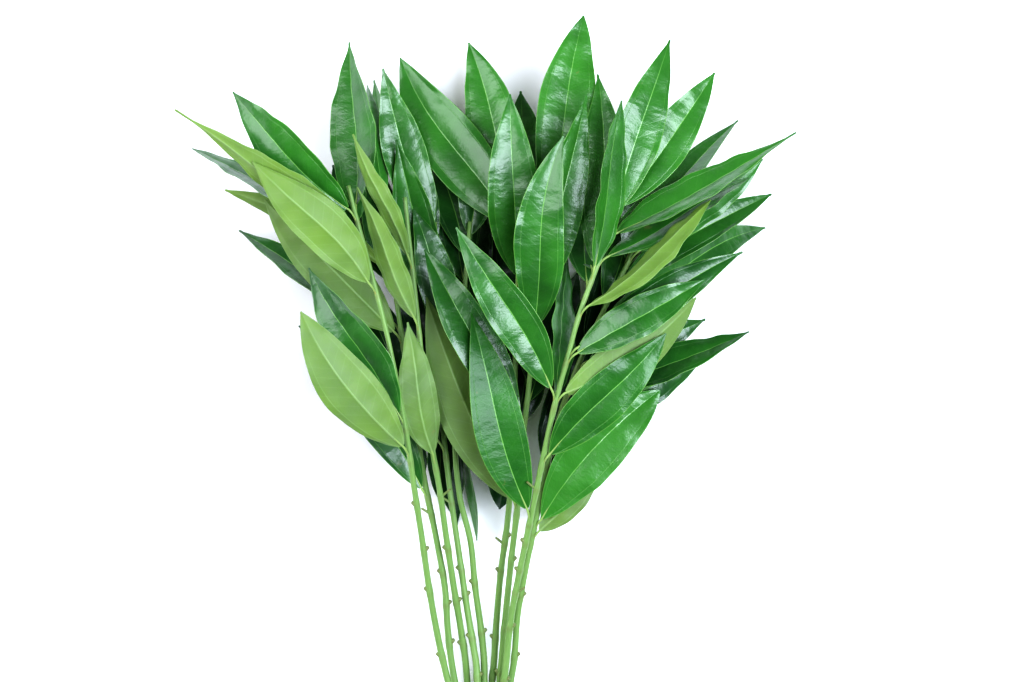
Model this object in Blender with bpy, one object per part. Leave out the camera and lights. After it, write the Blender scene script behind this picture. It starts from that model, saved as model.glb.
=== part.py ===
# Bunch of cut cocculus branches, lying on a surface with the stems towards -Y.
# Nine leafy stems fan out from a band. Each stem is one solid with its own leaves.
# Design values are in millimetres in the plan of the bunch: x to the right, y along the
# bunch from the band to the tips, z up from the surface. The solids are made in metres.

import math
import random

import bmesh
import bpy
import numpy as np
from mathutils import Vector
from mathutils.bvhtree import BVHTree

MM = 0.001

# Stems
STEM_RADIUS_CUT = 2.9        # at the cut end
STEM_RADIUS_TOP = 1.5        # at the last leaf
STEM_SIDES = 6
STEM_RINGS_ABOVE = 16        # above the band
SLOT_PITCH = 6.5             # between stems inside the band, three rows of three
BAND_X = -6.0                # middle of the band in plan
BAND_Y = -25.0
BAND_THICK = 1.3
BAND_HEIGHT = 9.0
BAND_GAP = 0.4
CUT_Y = -100.0               # the middle stem's cut end
RISE_FROM = -12.0            # the stems start to climb here
RISE_TO = 300.0              # and have reached the height of their head here

# Leaves
BLADE_THICK = 0.7
PETIOLE_THICK = 1.5
PETIOLE_LENGTH = 11.0
PETIOLE_LIFT = 4.0           # the blade starts this much above its stem
LAST_ROOT = 2.0              # no petiole leaves nearer to the top of a stem than this
BLADE_BOW = 0.07             # arch of a blade, as a share of its length
BLADE_BASE_POWER = 0.8       # shapes the base of the outline
CLEARANCE = 0.5
STATIONS = (0.03, 0.16, 0.34, 0.52, 0.70, 0.86, 1.0)
TIP_HALF_WIDTH = 0.5

# No two leaves are alike. Each draws these for itself, between a least and a most, unless
# its row says otherwise.
CHARACTER = {
    "twist": (-24.0, 24.0),      # from base to tip, degrees
    "fold": (0.12, 0.27),        # rise of the edges over the midrib, as a share of the half width
    "curl": (-0.03, 0.06),       # drop of the tip, as a share of the length
    "sway": (-0.016, 0.016),     # s-bend of the midrib, as a share of the length
    "tip_power": (0.92, 1.2),    # more gives a longer and thinner tip
}
CURL_FROM = 0.55                 # the tip's curl starts at this share of the length
TWIST_ABOUT = 0.4                # and the twist leaves this place as it is

BAND_CENTRE_Z = SLOT_PITCH + STEM_RADIUS_CUT + BAND_GAP + BAND_THICK

# Each stem: its slot in the band (column, row), the height of its head, its cut end
# beyond or short of the middle one, and its plan as (x, y) from the band to the top.
STEMS = {
    1: (-1, 1, 100, 4, [(-29, 52), (-35, 80), (-40, 110), (-44, 140), (-49, 175), (-53, 205),
                        (-59, 240), (-67, 280), (-76, 315), (-86, 352), (-91, 372)]),
    2: (-1, 0, 62, -6, [(-25, 55), (-28, 80), (-30, 110), (-36, 145), (-42, 175), (-47, 205),
                        (-54, 250), (-61, 300), (-66, 340), (-69, 370)]),
    3: (-1, -1, 84, 2, [(-16, 55), (-20, 85), (-24, 110), (-29, 145), (-33, 175), (-38, 205),
                        (-43, 250), (-48, 300), (-53, 345), (-55, 365)]),
    4: (0, 1, 46, -9, [(-9, 55), (-12, 75), (-16, 100), (-21, 135), (-26, 170), (-30, 205),
                       (-34, 250), (-36, 300), (-36, 350)]),
    5: (0, 0, 56, 6, [(-4, 55), (-6, 80), (-10, 110), (-13, 140), (-20, 170), (-23, 205),
                      (-21, 250), (-17, 300), (-13, 350)]),
    6: (0, -1, 72, 0, [(2, 55), (4, 85), (7, 120), (11, 150), (14, 185), (16, 230),
                       (17, 280), (19, 330), (22, 365)]),
    7: (1, 0, 90, -3, [(7, 55), (10, 90), (14, 130), (18, 165), (21, 205), (26, 250),
                       (31, 300), (38, 350), (41, 368)]),
    8: (1, 1, 124, 8, [(10, 55), (13, 85), (18, 115), (25, 150), (33, 190), (41, 228),
                       (50, 262), (57, 288), (66, 313), (76, 340), (79, 352)]),
    9: (1, -1, 80, -5, [(15, 55), (18, 90), (23, 120), (29, 150), (35, 178), (42, 212),
                        (54, 248), (68, 280), (82, 308), (96, 336)]),
}

# Scars of fallen leaves on the bare lower stems, as y and the side in plan: -1 left, 1 right.
SCARS = {
    1: [(165, -1), (135, 1), (108, -1), (64, -1)],
    2: [(119, -1), (98, 1), (72, 1), (40, -1)],
    3: [(135, -1), (100, 1), (71, -1), (38, 1)],
    4: [(121, -1), (104, 1), (76, -1), (50, 1)],
    5: [(112, -1), (79, 1), (44, -1)],
    6: [(143, 1), (120, -1), (75, -1), (50, 1)],
    7: [(128, 1), (81, 1), (52, -1)],
    8: [(141, -1), (122, -1), (84, 1), (48, 1)],
    9: [(104, 1), (63, 1), (30, -1)],
}
SCAR_REACH = 1.4             # beyond the stem's own surface
SCAR_RADII = (2.3, 1.1)      # at the stem's middle and at the scar's end

# Petioles that have lost their blade, as y, side and length.
BARE_PETIOLES = {
    2: [(158, -1, 6)],
    3: [(170, 1, 7)],
    4: [(165, -1, 6), (139, 1, 6)],
    6: [(138, -1, 6)],
    8: [(107, 1, 6), (176, -1, 7)],
}
BARE_PETIOLE_RADII = (1.1, 0.7)
SPUR_LEAN = 0.8              # how far a scar or bare petiole leans along the stem

# Leaves from the front of the bunch to its back. Each has its stem, the y at which it
# leaves the stem, its tip in plan, the rise of the tip over its root, its width, its turn
# about its own length in degrees, where 0 shows the upper side and 180 the underside, its
# sideways bow as a share of its length, and what is set of its character.
LEAVES = [
    (8, 152, -12, 290, 22, 33, 5, -0.02),
    (3, 188, -53, 284, 30, 27, 196, -0.02),
    (8, 231, -21, 344, 22, 30, -12, 0.02),
    (7, 210, -42, 331, 20, 31, 12, 0.0),
    (7, 158, -41, 300, 26, 38, 188, -0.03),
    (8, 190, 113, 277, 22, 32, 10, 0.0),
    (1, 194, -121, 291, 38, 37, 176, -0.05),
    (1, 300, -151, 386, 22, 33, 172, 0.03),
    (7, 270, 47, 402, 46, 33, -8, -0.04),
    (7, 292, 62, 429, 20, 31, 10, 0.0),
    (8, 308, 84, 425, 6, 28, 50, 0.0),
    (6, 303, 13, 430, 30, 35, -4, 0.0),
    (8, 226, 50, 327, -10, 27, 42, 0.0),
    (1, 206, -118, 320, 18, 36, -14, 0.0),
    (2, 268, -147, 364, 14, 36, 186, 0.0),
    (8, 344, 116, 466, 4, 31, 10, -0.01),
    (8, 348, 145, 445, -4, 29, 14, 0.015),
    (8, 311, 70, 446, -14, 33, -26, 0.04),
    (8, 333, 197, 406, 4, 31, -48, 0.015, {"tip_power": 1.6}),
    (8, 341, 162, 416, -6, 26, -44, 0.03),
    (8, 256, 137, 311, 12, 28, -24, 0.0),
    (8, 268, 162, 329, 4, 29, -18, 0.0),
    (8, 277, 141, 362, 6, 27, 134, 0.03),
    (8, 318, 169, 378, -4, 28, -50, 0.0),
    (8, 230, 133, 300, -6, 33, 200, 0.06),
    (9, 146, 111, 240, 14, 39, 12, -0.055, {"tip_power": 0.8}),
    (9, 138, 76, 192, 0, 22, 190, 0.0),
    (5, 262, -50, 358, 26, 26, 8, 0.0),
    (5, 210, -24, 299, 22, 26, 52, 0.0),
    (6, 186, -18, 298, 10, 26, -46, 0.0),
    (3, 276, -85, 370, 24, 20, 152, 0.0),
    (3, 316, -88, 405, 16, 15, 150, 0.0),
    (4, 290, -61, 403, 30, 29, -14, 0.0),
    (4, 335, -70, 450, 26, 30, 12, -0.03),
    (6, 336, -59, 458, 26, 41, 6, -0.03, {"tip_power": 0.95}),
    (6, 347, -14, 468, 18, 37, -4, 0.0),
    (7, 346, 61, 484, 0, 38, 4, -0.01, {"tip_power": 0.9}),
    (7, 322, 38, 427, 0, 26, 55, 0.0),
    (6, 340, 20, 437, 4, 33, 10, 0.0),
    (1, 348, -92, 467, 10, 36, -32, 0.015, {"tip_power": 1.25, "fold": 0.28}),
    (1, 340, -97, 400, 14, 18, 30, 0.0),
    (1, 338, -203, 421, 4, 29, 136, -0.02, {"tip_power": 1.9}),
    (1, 355, -166, 433, -2, 34, -8, -0.036),
    (1, 326, -197, 399, -10, 26, 46, 0.0),
    (2, 312, -174, 371, 10, 22, 140, 0.06),
    (2, 276, -168, 346, -50, 26, 44, -0.015),
    (2, 352, -81, 441, 10, 21, 60, 0.0),
    (2, 344, -77, 444, 4, 21, -56, 0.0),
    (2, 165, -100, 256, -4, 27, 8, 0.02),
    (9, 322, 177, 390, 14, 28, 34, 0.0),
    (9, 300, 184, 368, 0, 24, -15, -0.04),
    (9, 280, 184, 348, -84, 28, 14, -0.03),
    (9, 226, 168, 278, 8, 30, -40, 0.03),
    (9, 252, 140, 286, -6, 28, 20, 0.0),
    (9, 206, 139, 259, 2, 30, 30, 0.0),
]

# Leaves within the crown, in rows like those above. They are placed after them, from the
# top of the stems down.
INNER_LEAVES = [
    (2, 306, -82, 400, -16, 25, 10, 0.0),
    (7, 222, 58, 318, -20, 25, 0, 0.0),
    (4, 232, -22, 149, -26, 24, 30, 0.0),
    (5, 226, -9, 140, -30, 20, 58, 0.0),
    (6, 226, 6, 160, -36, 24, 0, 0.0),
    (4, 237, -32, 162, -30, 20, -20, 0.0),
    (8, 291, 60, 398, -14, 27, 0, 0.0),
    (9, 330, 142, 402, -6, 28, 20, 0.0),
    (9, 314, 110, 418, -16, 28, 10, 0.0),
    (9, 310, 138, 384, -10, 28, -30, 0.0),
    (9, 286, 104, 386, -20, 28, -10, 0.0),
    (9, 268, 134, 350, -10, 28, 24, 0.0),
    (9, 258, 96, 352, -20, 28, 8, 0.0),
    (9, 240, 128, 318, -14, 28, -20, 0.0),
    (9, 230, 82, 326, -20, 28, 10, 0.0),
    (9, 204, 84, 296, -20, 28, -10, 0.0),
    (9, 190, 100, 268, -10, 28, 14, 0.0),
    (9, 176, 60, 274, -16, 28, 8, 0.0),
    (7, 240, 42, 344, -10, 28, 12, 0.0),
    (6, 262, 44, 362, -24, 28, 10, 0.0),
    (6, 236, 2, 340, -10, 28, -10, 0.0),
    (6, 196, 30, 296, -16, 28, 10, 0.0),
    (5, 330, 2, 428, -10, 28, 8, 0.0),
    (5, 318, -40, 416, -12, 28, 8, 0.0),
    (5, 300, -26, 398, -6, 28, 16, 0.0),
    (5, 262, -4, 366, -6, 28, -14, 0.0),
    (4, 322, -62, 414, -10, 28, -8, 0.0),
    (4, 270, -30, 366, -8, 28, -14, 0.0),
    (4, 242, -62, 340, -10, 28, 10, 0.0),
    (4, 226, -57, 313, 16, 27, -50, 0.0),
    (2, 300, -104, 388, -14, 28, 8, 0.0),
    (2, 238, -92, 320, -14, 28, 10, 0.0),
]

# Leaves of the sides and the back, which follow a rule: nodes at even steps up each stem,
# turned on by the angle between one leaf and the next.
BACK_NODE_STEP = 21.0
BACK_FIRST_Y = 160.0
BACK_TURN_ON = 144.0         # two fifths of a turn
BACK_LENGTH = (92.0, 122.0)
BACK_WIDTH = (25.0, 35.0)
BACK_SPREAD = (28.0, 52.0)   # angle between a leaf and its stem, degrees
BACK_SEED = 11
BACK_MIDDLE = (0.0, 330.0)   # their tips stay in an oval about this point
BACK_REACH = (160.0, 112.0)
MOST_LEAVES_ON_A_STEM = 17

# A leaf gives way in these steps of its place on the stem, its lift, its turn and its bow
# until it is clear.
SLIDES = (0.0, -8.0, 8.0)
LIFTS = [step * 6.0 for step in range(-14, 9)]
TURNS = (0.0, -14.0, 14.0)
BOWS = (0.0, -0.05)


def smooth(share):
    share = min(1.0, max(0.0, share))
    return share * share * (3 - 2 * share)


class Stem:
    """A stem's centre line, read by y, with its thickness."""

    def __init__(self, number):
        column, row, self.head, extra, plan = STEMS[number]
        self.number = number
        self.slot_z = BAND_CENTRE_Z + row * SLOT_PITCH
        slot_x = BAND_X + column * SLOT_PITCH
        self.cut_y = CUT_Y + extra
        self.top_y = plan[-1][1]
        self.spurs = []
        self.points = [(slot_x + column * 2.0, CUT_Y - 20), (slot_x, BAND_Y - 18),
                       (slot_x, BAND_Y + 10)] + list(plan)

    def x(self, y):
        """A cubic through the plan points, with the slope at each from its neighbours."""
        p = self.points
        i = max(0, min(len(p) - 2, sum(1 for q in p if q[1] <= y) - 1))

        def slope(k):
            a, b = p[max(0, k - 1)], p[min(len(p) - 1, k + 1)]
            return (b[0] - a[0]) / (b[1] - a[1])

        (x0, y0), (x1, y1) = p[i], p[i + 1]
        h = y1 - y0
        t = (y - y0) / h
        return ((2 * t ** 3 - 3 * t * t + 1) * x0 + (t ** 3 - 2 * t * t + t) * h * slope(i)
                + (3 * t * t - 2 * t ** 3) * x1 + (t ** 3 - t * t) * h * slope(i + 1))

    def at(self, y):
        climb = smooth((y - RISE_FROM) / (RISE_TO - RISE_FROM))
        return Vector((self.x(y), y, self.slot_z + (self.head - self.slot_z) * climb))

    def along(self, y):
        return (self.at(y + 2) - self.at(y - 2)).normalized()

    def radius(self, y):
        share = (y - self.cut_y) / (self.top_y - self.cut_y)
        return STEM_RADIUS_CUT + (STEM_RADIUS_TOP - STEM_RADIUS_CUT) * share

    def mesh(self):
        """Rings of points round the centre line, closed at both ends, as points and faces."""
        clear_of_band = BAND_HEIGHT / 2 + 2
        levels = [self.cut_y, BAND_Y - 20, BAND_Y - clear_of_band]
        start = BAND_Y + clear_of_band
        step = (self.top_y - start) / (STEM_RINGS_ABOVE - 1)
        levels += [start + step * k for k in range(STEM_RINGS_ABOVE)]
        points = []
        for y in levels:
            centre, ahead = self.at(y), self.along(y)
            across = ahead.cross(Vector((0, 0, 1))).normalized()
            upward = across.cross(ahead)
            for side in range(STEM_SIDES):
                a = 2 * math.pi * (side + 0.5) / STEM_SIDES
                points.append(centre + (across * math.cos(a) + upward * math.sin(a)) * self.radius(y))
        return points, ring_faces(len(levels), STEM_SIDES)

    def spur(self, y, side, length, radii):
        """A short four-sided spur from the stem's middle out to one side."""
        centre, ahead = self.at(y), self.along(y)
        out = (Vector((side, 0, 0.25)) + ahead * SPUR_LEAN).normalized()
        across = out.cross(Vector((0, 0, 1))).normalized()
        upward = across.cross(out)
        points = []
        for distance, radius in ((0.0, radii[0]), (length, radii[1])):
            for a, b in ((1, 0), (0, 1), (-1, 0), (0, -1)):
                points.append(centre + out * distance + (across * a + upward * b) * radius)
        return points, ring_faces(2, 4)

    def grow_spurs(self, others):
        """Keeps each scar or bare petiole that has room beside the other stems."""
        wishes = [(y, side, self.radius(y) * 1.3 + SCAR_REACH, SCAR_RADII)
                  for y, side in SCARS.get(self.number, [])]
        wishes += [(y, side, self.radius(y) + length, BARE_PETIOLE_RADII)
                   for y, side, length in BARE_PETIOLES.get(self.number, [])]
        for y, side, length, radii in wishes:
            fat = [radius + CLEARANCE for radius in radii]
            room = tree_of(self.spur(y, side, length + CLEARANCE, fat))
            if not any(room.overlap(other) for other in others):
                self.spurs.append(self.spur(y, side, length, radii))


def merged(meshes):
    """Several meshes as one, without joining them."""
    points, faces = [], []
    for more_points, more_faces in meshes:
        faces += [tuple(i + len(points) for i in face) for face in more_faces]
        points += more_points
    return points, faces


def ring_faces(rings, sides):
    """Faces of a closed tube of rings, with a cap at each end."""
    faces = [tuple(range(sides))[::-1], tuple(range((rings - 1) * sides, rings * sides))]
    for k in range(rings - 1):
        for i in range(sides):
            j = (i + 1) % sides
            a, b = k * sides, (k + 1) * sides
            faces += [(a + i, a + j, b + j), (a + i, b + j, b + i)]
    return faces


def half_width(t, width, tip_power):
    """Half the width of a lance-shaped blade at t from its base, 0, to its tip, 1."""
    low, high = BLADE_BASE_POWER, tip_power
    rounded = (t ** low) * ((1 - t) ** high)
    most = (low / (low + high)) ** low * (high / (low + high)) ** high
    return max(TIP_HALF_WIDTH, 0.5 * width * rounded / most)


def character(tip_x, tip_y, own):
    draw = random.Random(int(tip_x * 7 + tip_y * 3))
    drawn = {name: draw.uniform(*CHARACTER[name]) for name in CHARACTER}
    drawn.update(own)
    return drawn


class Leaf:
    """One leaf: a petiole from the stem's middle, and a folded, arched blade to the tip."""

    def __init__(self, stem, root_y, tip_x, tip_y, rise, width, turn, bend, own, lift=0.0, bow=BLADE_BOW):
        self.stem = stem
        self.root = stem.at(root_y)
        self.tip = Vector((tip_x, tip_y, max(self.root.z + rise + lift, BLADE_THICK / 2)))
        self.width = width
        drawn = character(tip_x, tip_y, own)
        self.turn, self.twist = math.radians(turn), math.radians(drawn["twist"])
        self.fold, self.tip_power = drawn["fold"], drawn["tip_power"]
        reach = (self.tip - self.root).normalized()
        ahead = (reach * 0.6 + stem.along(root_y) * 0.4).normalized()
        self.base = self.root + ahead * PETIOLE_LENGTH + Vector((0, 0, PETIOLE_LIFT))
        if self.tip.z < self.root.z - 20:
            self.base.z -= 2 * PETIOLE_LIFT
        self.chord = self.tip - self.base
        size = self.chord.length
        self.bow, self.bend = bow * size, bend * size
        self.curl, self.sway = drawn["curl"] * size, drawn["sway"] * size
        ahead = self.chord.normalized()
        self.upright = (Vector((0, 0, 1)) - ahead * ahead.z).normalized()
        self.sideways = ahead.cross(self.upright)
        self.arch = Vector((0, 0, 1)) - ahead * ahead.z

    def midrib(self, t):
        arched = self.bow * 4 * t * (1 - t) - self.curl * max(0.0, (t - CURL_FROM) / (1 - CURL_FROM)) ** 2
        aside = self.bend * 4 * t * (1 - t) + self.sway * math.sin(2 * math.pi * t)
        return self.base + self.chord * t + self.arch * arched + self.sideways * aside

    def facing(self, t):
        """The way that the upper side faces at t, and the way across the blade."""
        a = self.turn + self.twist * (t - TWIST_ABOUT)
        return (self.upright * math.cos(a) + self.sideways * math.sin(a),
                self.sideways * math.cos(a) - self.upright * math.sin(a))

    def sections(self, margin=0.0):
        """The rings of six points along the leaf: three over and three under."""
        petiole = self.base - self.root
        lines = []
        for share in (0.0, 0.55):
            lines.append((self.root + petiole * share, 0.0, PETIOLE_THICK / 2, 0.0, PETIOLE_THICK))
        for t in STATIONS:
            half = half_width(t, self.width, self.tip_power)
            lines.append((self.midrib(t), t, half, self.fold * half, BLADE_THICK))
        grid, facings = [], []
        for centre, t, half, fold, _ in lines:
            over, side = self.facing(t)
            grid.append([centre - side * (half + margin) + over * fold, centre,
                         centre + side * (half + margin) + over * fold])
            facings.append(over)
        for row in grid[2:]:
            for point in row:
                point.z = max(point.z, BLADE_THICK / 2)
        rings = []
        for k, row in enumerate(grid):
            before, after = grid[max(0, k - 1)][1], grid[min(len(grid) - 1, k + 1)][1]
            normal = (row[2] - row[0]).cross(after - before)
            normal = normal.normalized() if normal.length > 1e-9 else facings[k]
            if normal.dot(facings[k]) < 0:
                normal = -normal
            thick = normal * (lines[k][4] / 2 + margin)
            rings.append([row[0] + thick, row[1] + thick, row[2] + thick,
                          row[2] - thick, row[1] - thick, row[0] - thick])
        return rings

    def mesh(self, margin=0.0, first=0):
        rings = self.sections(margin)[first:]
        points = [p for ring in rings for p in ring]
        return points, ring_faces(len(rings), 6)


def tree_of(mesh):
    points, faces = mesh
    return BVHTree.FromPolygons([tuple(p) for p in points], faces)


def box_of(points):
    cloud = np.array([tuple(p) for p in points])
    return cloud.min(0), cloud.max(0)


def boxes_meet(a, b):
    return bool((a[0] <= b[1]).all() and (b[0] <= a[1]).all())


class Pile:
    """The stems and the leaves that are in place, for the clearance between them."""

    def __init__(self, stems):
        self.leaves = []
        self.stems = []
        for stem in stems:
            stem.grow_spurs([tree_of(merged([other.mesh()] + other.spurs))
                             for other in stems if other is not stem])
        for stem in stems:
            whole = merged([stem.mesh()] + stem.spurs)
            self.stems.append((stem, tree_of(whole), box_of(whole[0])))

    def clear(self, leaf):
        whole, blade = leaf.mesh(CLEARANCE), leaf.mesh(CLEARANCE, first=3)
        box = box_of(whole[0])
        if box[0][2] < -CLEARANCE - 0.01:
            return False
        whole_tree, blade_tree = None, tree_of(blade)
        for stem, tree, stem_box in self.stems:
            if not boxes_meet(box, stem_box):
                continue
            if stem is leaf.stem:
                if blade_tree.overlap(tree):
                    return False
                continue
            whole_tree = whole_tree or tree_of(whole)
            if whole_tree.overlap(tree):
                return False
        near = [entry for entry in self.leaves if boxes_meet(box, entry[3])]
        for other, other_whole, other_blade, _ in near:
            whole_tree = whole_tree or tree_of(whole)
            if other.stem is leaf.stem:
                if blade_tree.overlap(other_whole) or whole_tree.overlap(other_blade):
                    return False
            elif whole_tree.overlap(other_whole):
                return False
        return True

    def beneath(self, leaf):
        """True where no part of the leaf covers a blade that is already there."""
        rings = leaf.sections()[3:]
        samples = [ring[i] for ring in rings for i in (0, 1, 2)]
        down = Vector((0, 0, -1))
        low = np.array([tuple(p) for p in samples]).min(0)
        high = np.array([tuple(p) for p in samples]).max(0)
        for _, _, blade, box in self.leaves:
            if (low[:2] > box[1][:2]).any() or (high[:2] < box[0][:2]).any():
                continue
            for point in samples:
                if blade.ray_cast(point, down)[0] is not None:
                    return False
        return True

    def add(self, leaf):
        whole = leaf.mesh()
        self.leaves.append((leaf, tree_of(whole), tree_of(leaf.mesh(first=3)), box_of(whole[0])))


def trials():
    """Changes of place on the stem, lift, turn and bow, the smallest first."""
    found = [(abs(slide) / 6 + abs(lift) / 8 + abs(turn) / 10 - bow / 0.04, slide, lift, turn, bow)
             for slide in SLIDES for lift in LIFTS for turn in TURNS for bow in BOWS]
    return sorted(found)


def settle(pile, stem, root_y, tip_x, tip_y, rise, width, turn, bend, own={}):
    """Places a leaf with the smallest change that leaves it clear. Returns None if none does."""
    for _, slide, lift, more_turn, more_bow in TRIALS:
        at = min(root_y + slide, stem.top_y - LAST_ROOT)
        leaf = Leaf(stem, at, tip_x, tip_y, rise, width, turn + more_turn, bend, own,
                    lift, BLADE_BOW + more_bow)
        if pile.clear(leaf) and pile.beneath(leaf):
            pile.add(leaf)
            return leaf
    return None


def back_leaves(stems):
    """Wishes for the leaves of the back, as rows like those of LEAVES."""
    draw = random.Random(BACK_SEED)
    rows = []
    for stem in stems:
        around = draw.uniform(0, 360)
        y = BACK_FIRST_Y + draw.uniform(0, BACK_NODE_STEP)
        while y < stem.top_y:
            around += BACK_TURN_ON
            spread = math.radians(draw.uniform(*BACK_SPREAD))
            length = draw.uniform(*BACK_LENGTH)
            a = math.radians(around)
            out = math.sin(spread) * length
            tip_x = stem.x(y) + out * math.cos(a)
            tip_y = y + math.cos(spread) * length + PETIOLE_LENGTH
            rise = -abs(out * math.sin(a))
            turn = 60 * math.cos(a) * draw.uniform(0.2, 0.8)
            row = (stem.number, y, tip_x, tip_y, rise, draw.uniform(*BACK_WIDTH), turn, 0.0)
            across = (tip_x - BACK_MIDDLE[0]) / BACK_REACH[0]
            along = (tip_y - BACK_MIDDLE[1]) / BACK_REACH[1]
            if math.hypot(across, along) < 1:
                rows.append(row)
            y += BACK_NODE_STEP
    rows.sort(key=lambda row: -row[4])
    return rows


def place_leaves(stems):
    pile = Pile(stems)
    by_number = {s.number: s for s in stems}
    for row in LEAVES + sorted(INNER_LEAVES, key=lambda row: -row[1]):
        if settle(pile, by_number[row[0]], *row[1:]) is None:
            print("no room for a leaf on stem", row[0], "at", row[1])
    for row in back_leaves(stems):
        stem = by_number[row[0]]
        own = sum(1 for entry in pile.leaves if entry[0].stem is stem)
        if own < MOST_LEAVES_ON_A_STEM:
            settle(pile, stem, *row[1:])
    return [entry[0] for entry in pile.leaves]


TRIALS = trials()


def remove_everything():
    for thing in list(bpy.data.objects):
        bpy.data.objects.remove(thing, do_unlink=True)
    for store in (bpy.data.meshes, bpy.data.materials, bpy.data.collections):
        for thing in list(store):
            store.remove(thing)


def material(name, color, roughness):
    made = bpy.data.materials.new(name)
    made.use_nodes = True
    shader = made.node_tree.nodes["Principled BSDF"]
    shader.inputs["Base Color"].default_value = (*color, 1.0)
    shader.inputs["Roughness"].default_value = roughness
    return made


def solid(name, mesh, collection):
    """An object from points in millimetres, with its faces turned outwards."""
    points, faces = mesh
    data = bpy.data.meshes.new(name)
    data.from_pydata([tuple(p * MM) for p in points], [], faces)
    work = bmesh.new()
    work.from_mesh(data)
    bmesh.ops.triangulate(work, faces=work.faces)
    bmesh.ops.recalc_face_normals(work, faces=work.faces)
    work.to_mesh(data)
    work.free()
    made = bpy.data.objects.new(name, data)
    collection.objects.link(made)
    return made


def leafy_stem(stem, leaves, foliage):
    """One stem with its own leaves, joined into one solid by one union."""
    name = f"leafy_stem_{stem.number}"
    whole = solid(name, stem.mesh(), bpy.context.scene.collection)
    whole.data.materials.append(foliage)
    repeats = bpy.data.collections.new(name + "_repeats")
    bpy.context.scene.collection.children.link(repeats)
    for index, mesh in enumerate([leaf.mesh() for leaf in leaves] + stem.spurs):
        solid(f"{name}_repeat_{index}", mesh, repeats)
    union = whole.modifiers.new("union", "BOOLEAN")
    union.operation = "UNION"
    union.operand_type = "COLLECTION"
    union.collection = repeats
    union.solver = "EXACT"
    joined = bpy.data.meshes.new_from_object(
        whole.evaluated_get(bpy.context.evaluated_depsgraph_get()))
    whole.modifiers.clear()
    whole.data = joined
    for thing in list(repeats.objects):
        bpy.data.objects.remove(thing, do_unlink=True)
    bpy.data.collections.remove(repeats)
    return whole


def rounded_ring(half_x, half_z, corner, steps=5):
    """Points of a rectangle with rounded corners, in x and z about its middle."""
    ring = []
    for quarter, (sx, sz) in enumerate(((1, 1), (-1, 1), (-1, -1), (1, -1))):
        for k in range(steps + 1):
            a = math.pi / 2 * (quarter + k / steps)
            ring.append((sx * (half_x - corner) + corner * math.cos(a),
                         sz * (half_z - corner) + corner * math.sin(a)))
    return ring


def band(stems, rubber):
    """A band round the nine stems, with a flat underside that the bunch rests on."""
    reach_x = 0.0
    for stem in stems:
        for y in (BAND_Y - BAND_HEIGHT / 2, BAND_Y, BAND_Y + BAND_HEIGHT / 2):
            reach_x = max(reach_x, abs(stem.x(y) - BAND_X) + stem.radius(y))
    half_x = reach_x + BAND_GAP
    half_z = SLOT_PITCH + STEM_RADIUS_CUT + BAND_GAP
    inner = rounded_ring(half_x, half_z, STEM_RADIUS_CUT)
    outer = rounded_ring(half_x + BAND_THICK, half_z + BAND_THICK, STEM_RADIUS_CUT + BAND_THICK)
    count = len(inner)
    points, faces = [], []
    for ring, y in ((outer, -0.5), (outer, 0.5), (inner, 0.5), (inner, -0.5)):
        for x, z in ring:
            points.append(Vector((BAND_X + x, BAND_Y + y * BAND_HEIGHT, BAND_CENTRE_Z + z)))
    for k in range(4):
        for i in range(count):
            j = (i + 1) % count
            a, b = k * count, (k + 1) % 4 * count
            faces.append((a + i, a + j, b + j, b + i))
    made = solid("tie", (points, faces), bpy.context.scene.collection)
    made.data.materials.append(rubber)
    return made


def centre_on_floor(nodes):
    """Moves the whole bunch so that the middle of its underside is the origin."""
    cloud = np.array([tuple(v.co) for node in nodes for v in node.data.vertices])
    low, high = cloud.min(0), cloud.max(0)
    shift = Vector((-(low[0] + high[0]) / 2, -(low[1] + high[1]) / 2, -low[2]))
    for node in nodes:
        for vertex in node.data.vertices:
            vertex.co += shift
    print("size in mm", [round(v / MM, 1) for v in high - low],
          "moved by", [round(v / MM, 2) for v in shift])


def build():
    remove_everything()
    stems = [Stem(number) for number in STEMS]
    leaves = place_leaves(stems)
    foliage = material("foliage", (0.06, 0.22, 0.05), 0.4)
    rubber = material("tie", (0.55, 0.38, 0.20), 0.6)
    nodes = [leafy_stem(stem, [leaf for leaf in leaves if leaf.stem is stem], foliage)
             for stem in stems]
    nodes.append(band(stems, rubber))
    centre_on_floor(nodes)
    count = sum(len(face.vertices) - 2 for node in nodes for face in node.data.polygons)
    print("leaves", len(leaves), "spurs", sum(len(stem.spurs) for stem in stems), "triangles", count)


build()
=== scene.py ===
# Bunch of cut cocculus branches on a white table, seen from straight above.
# Plan values are in millimetres: x to the right, y from the band to the leaf tips, z up.
import itertools
import math
import random
import bmesh
import bpy
import numpy as np
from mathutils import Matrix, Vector
from mathutils.bvhtree import BVHTree


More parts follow.
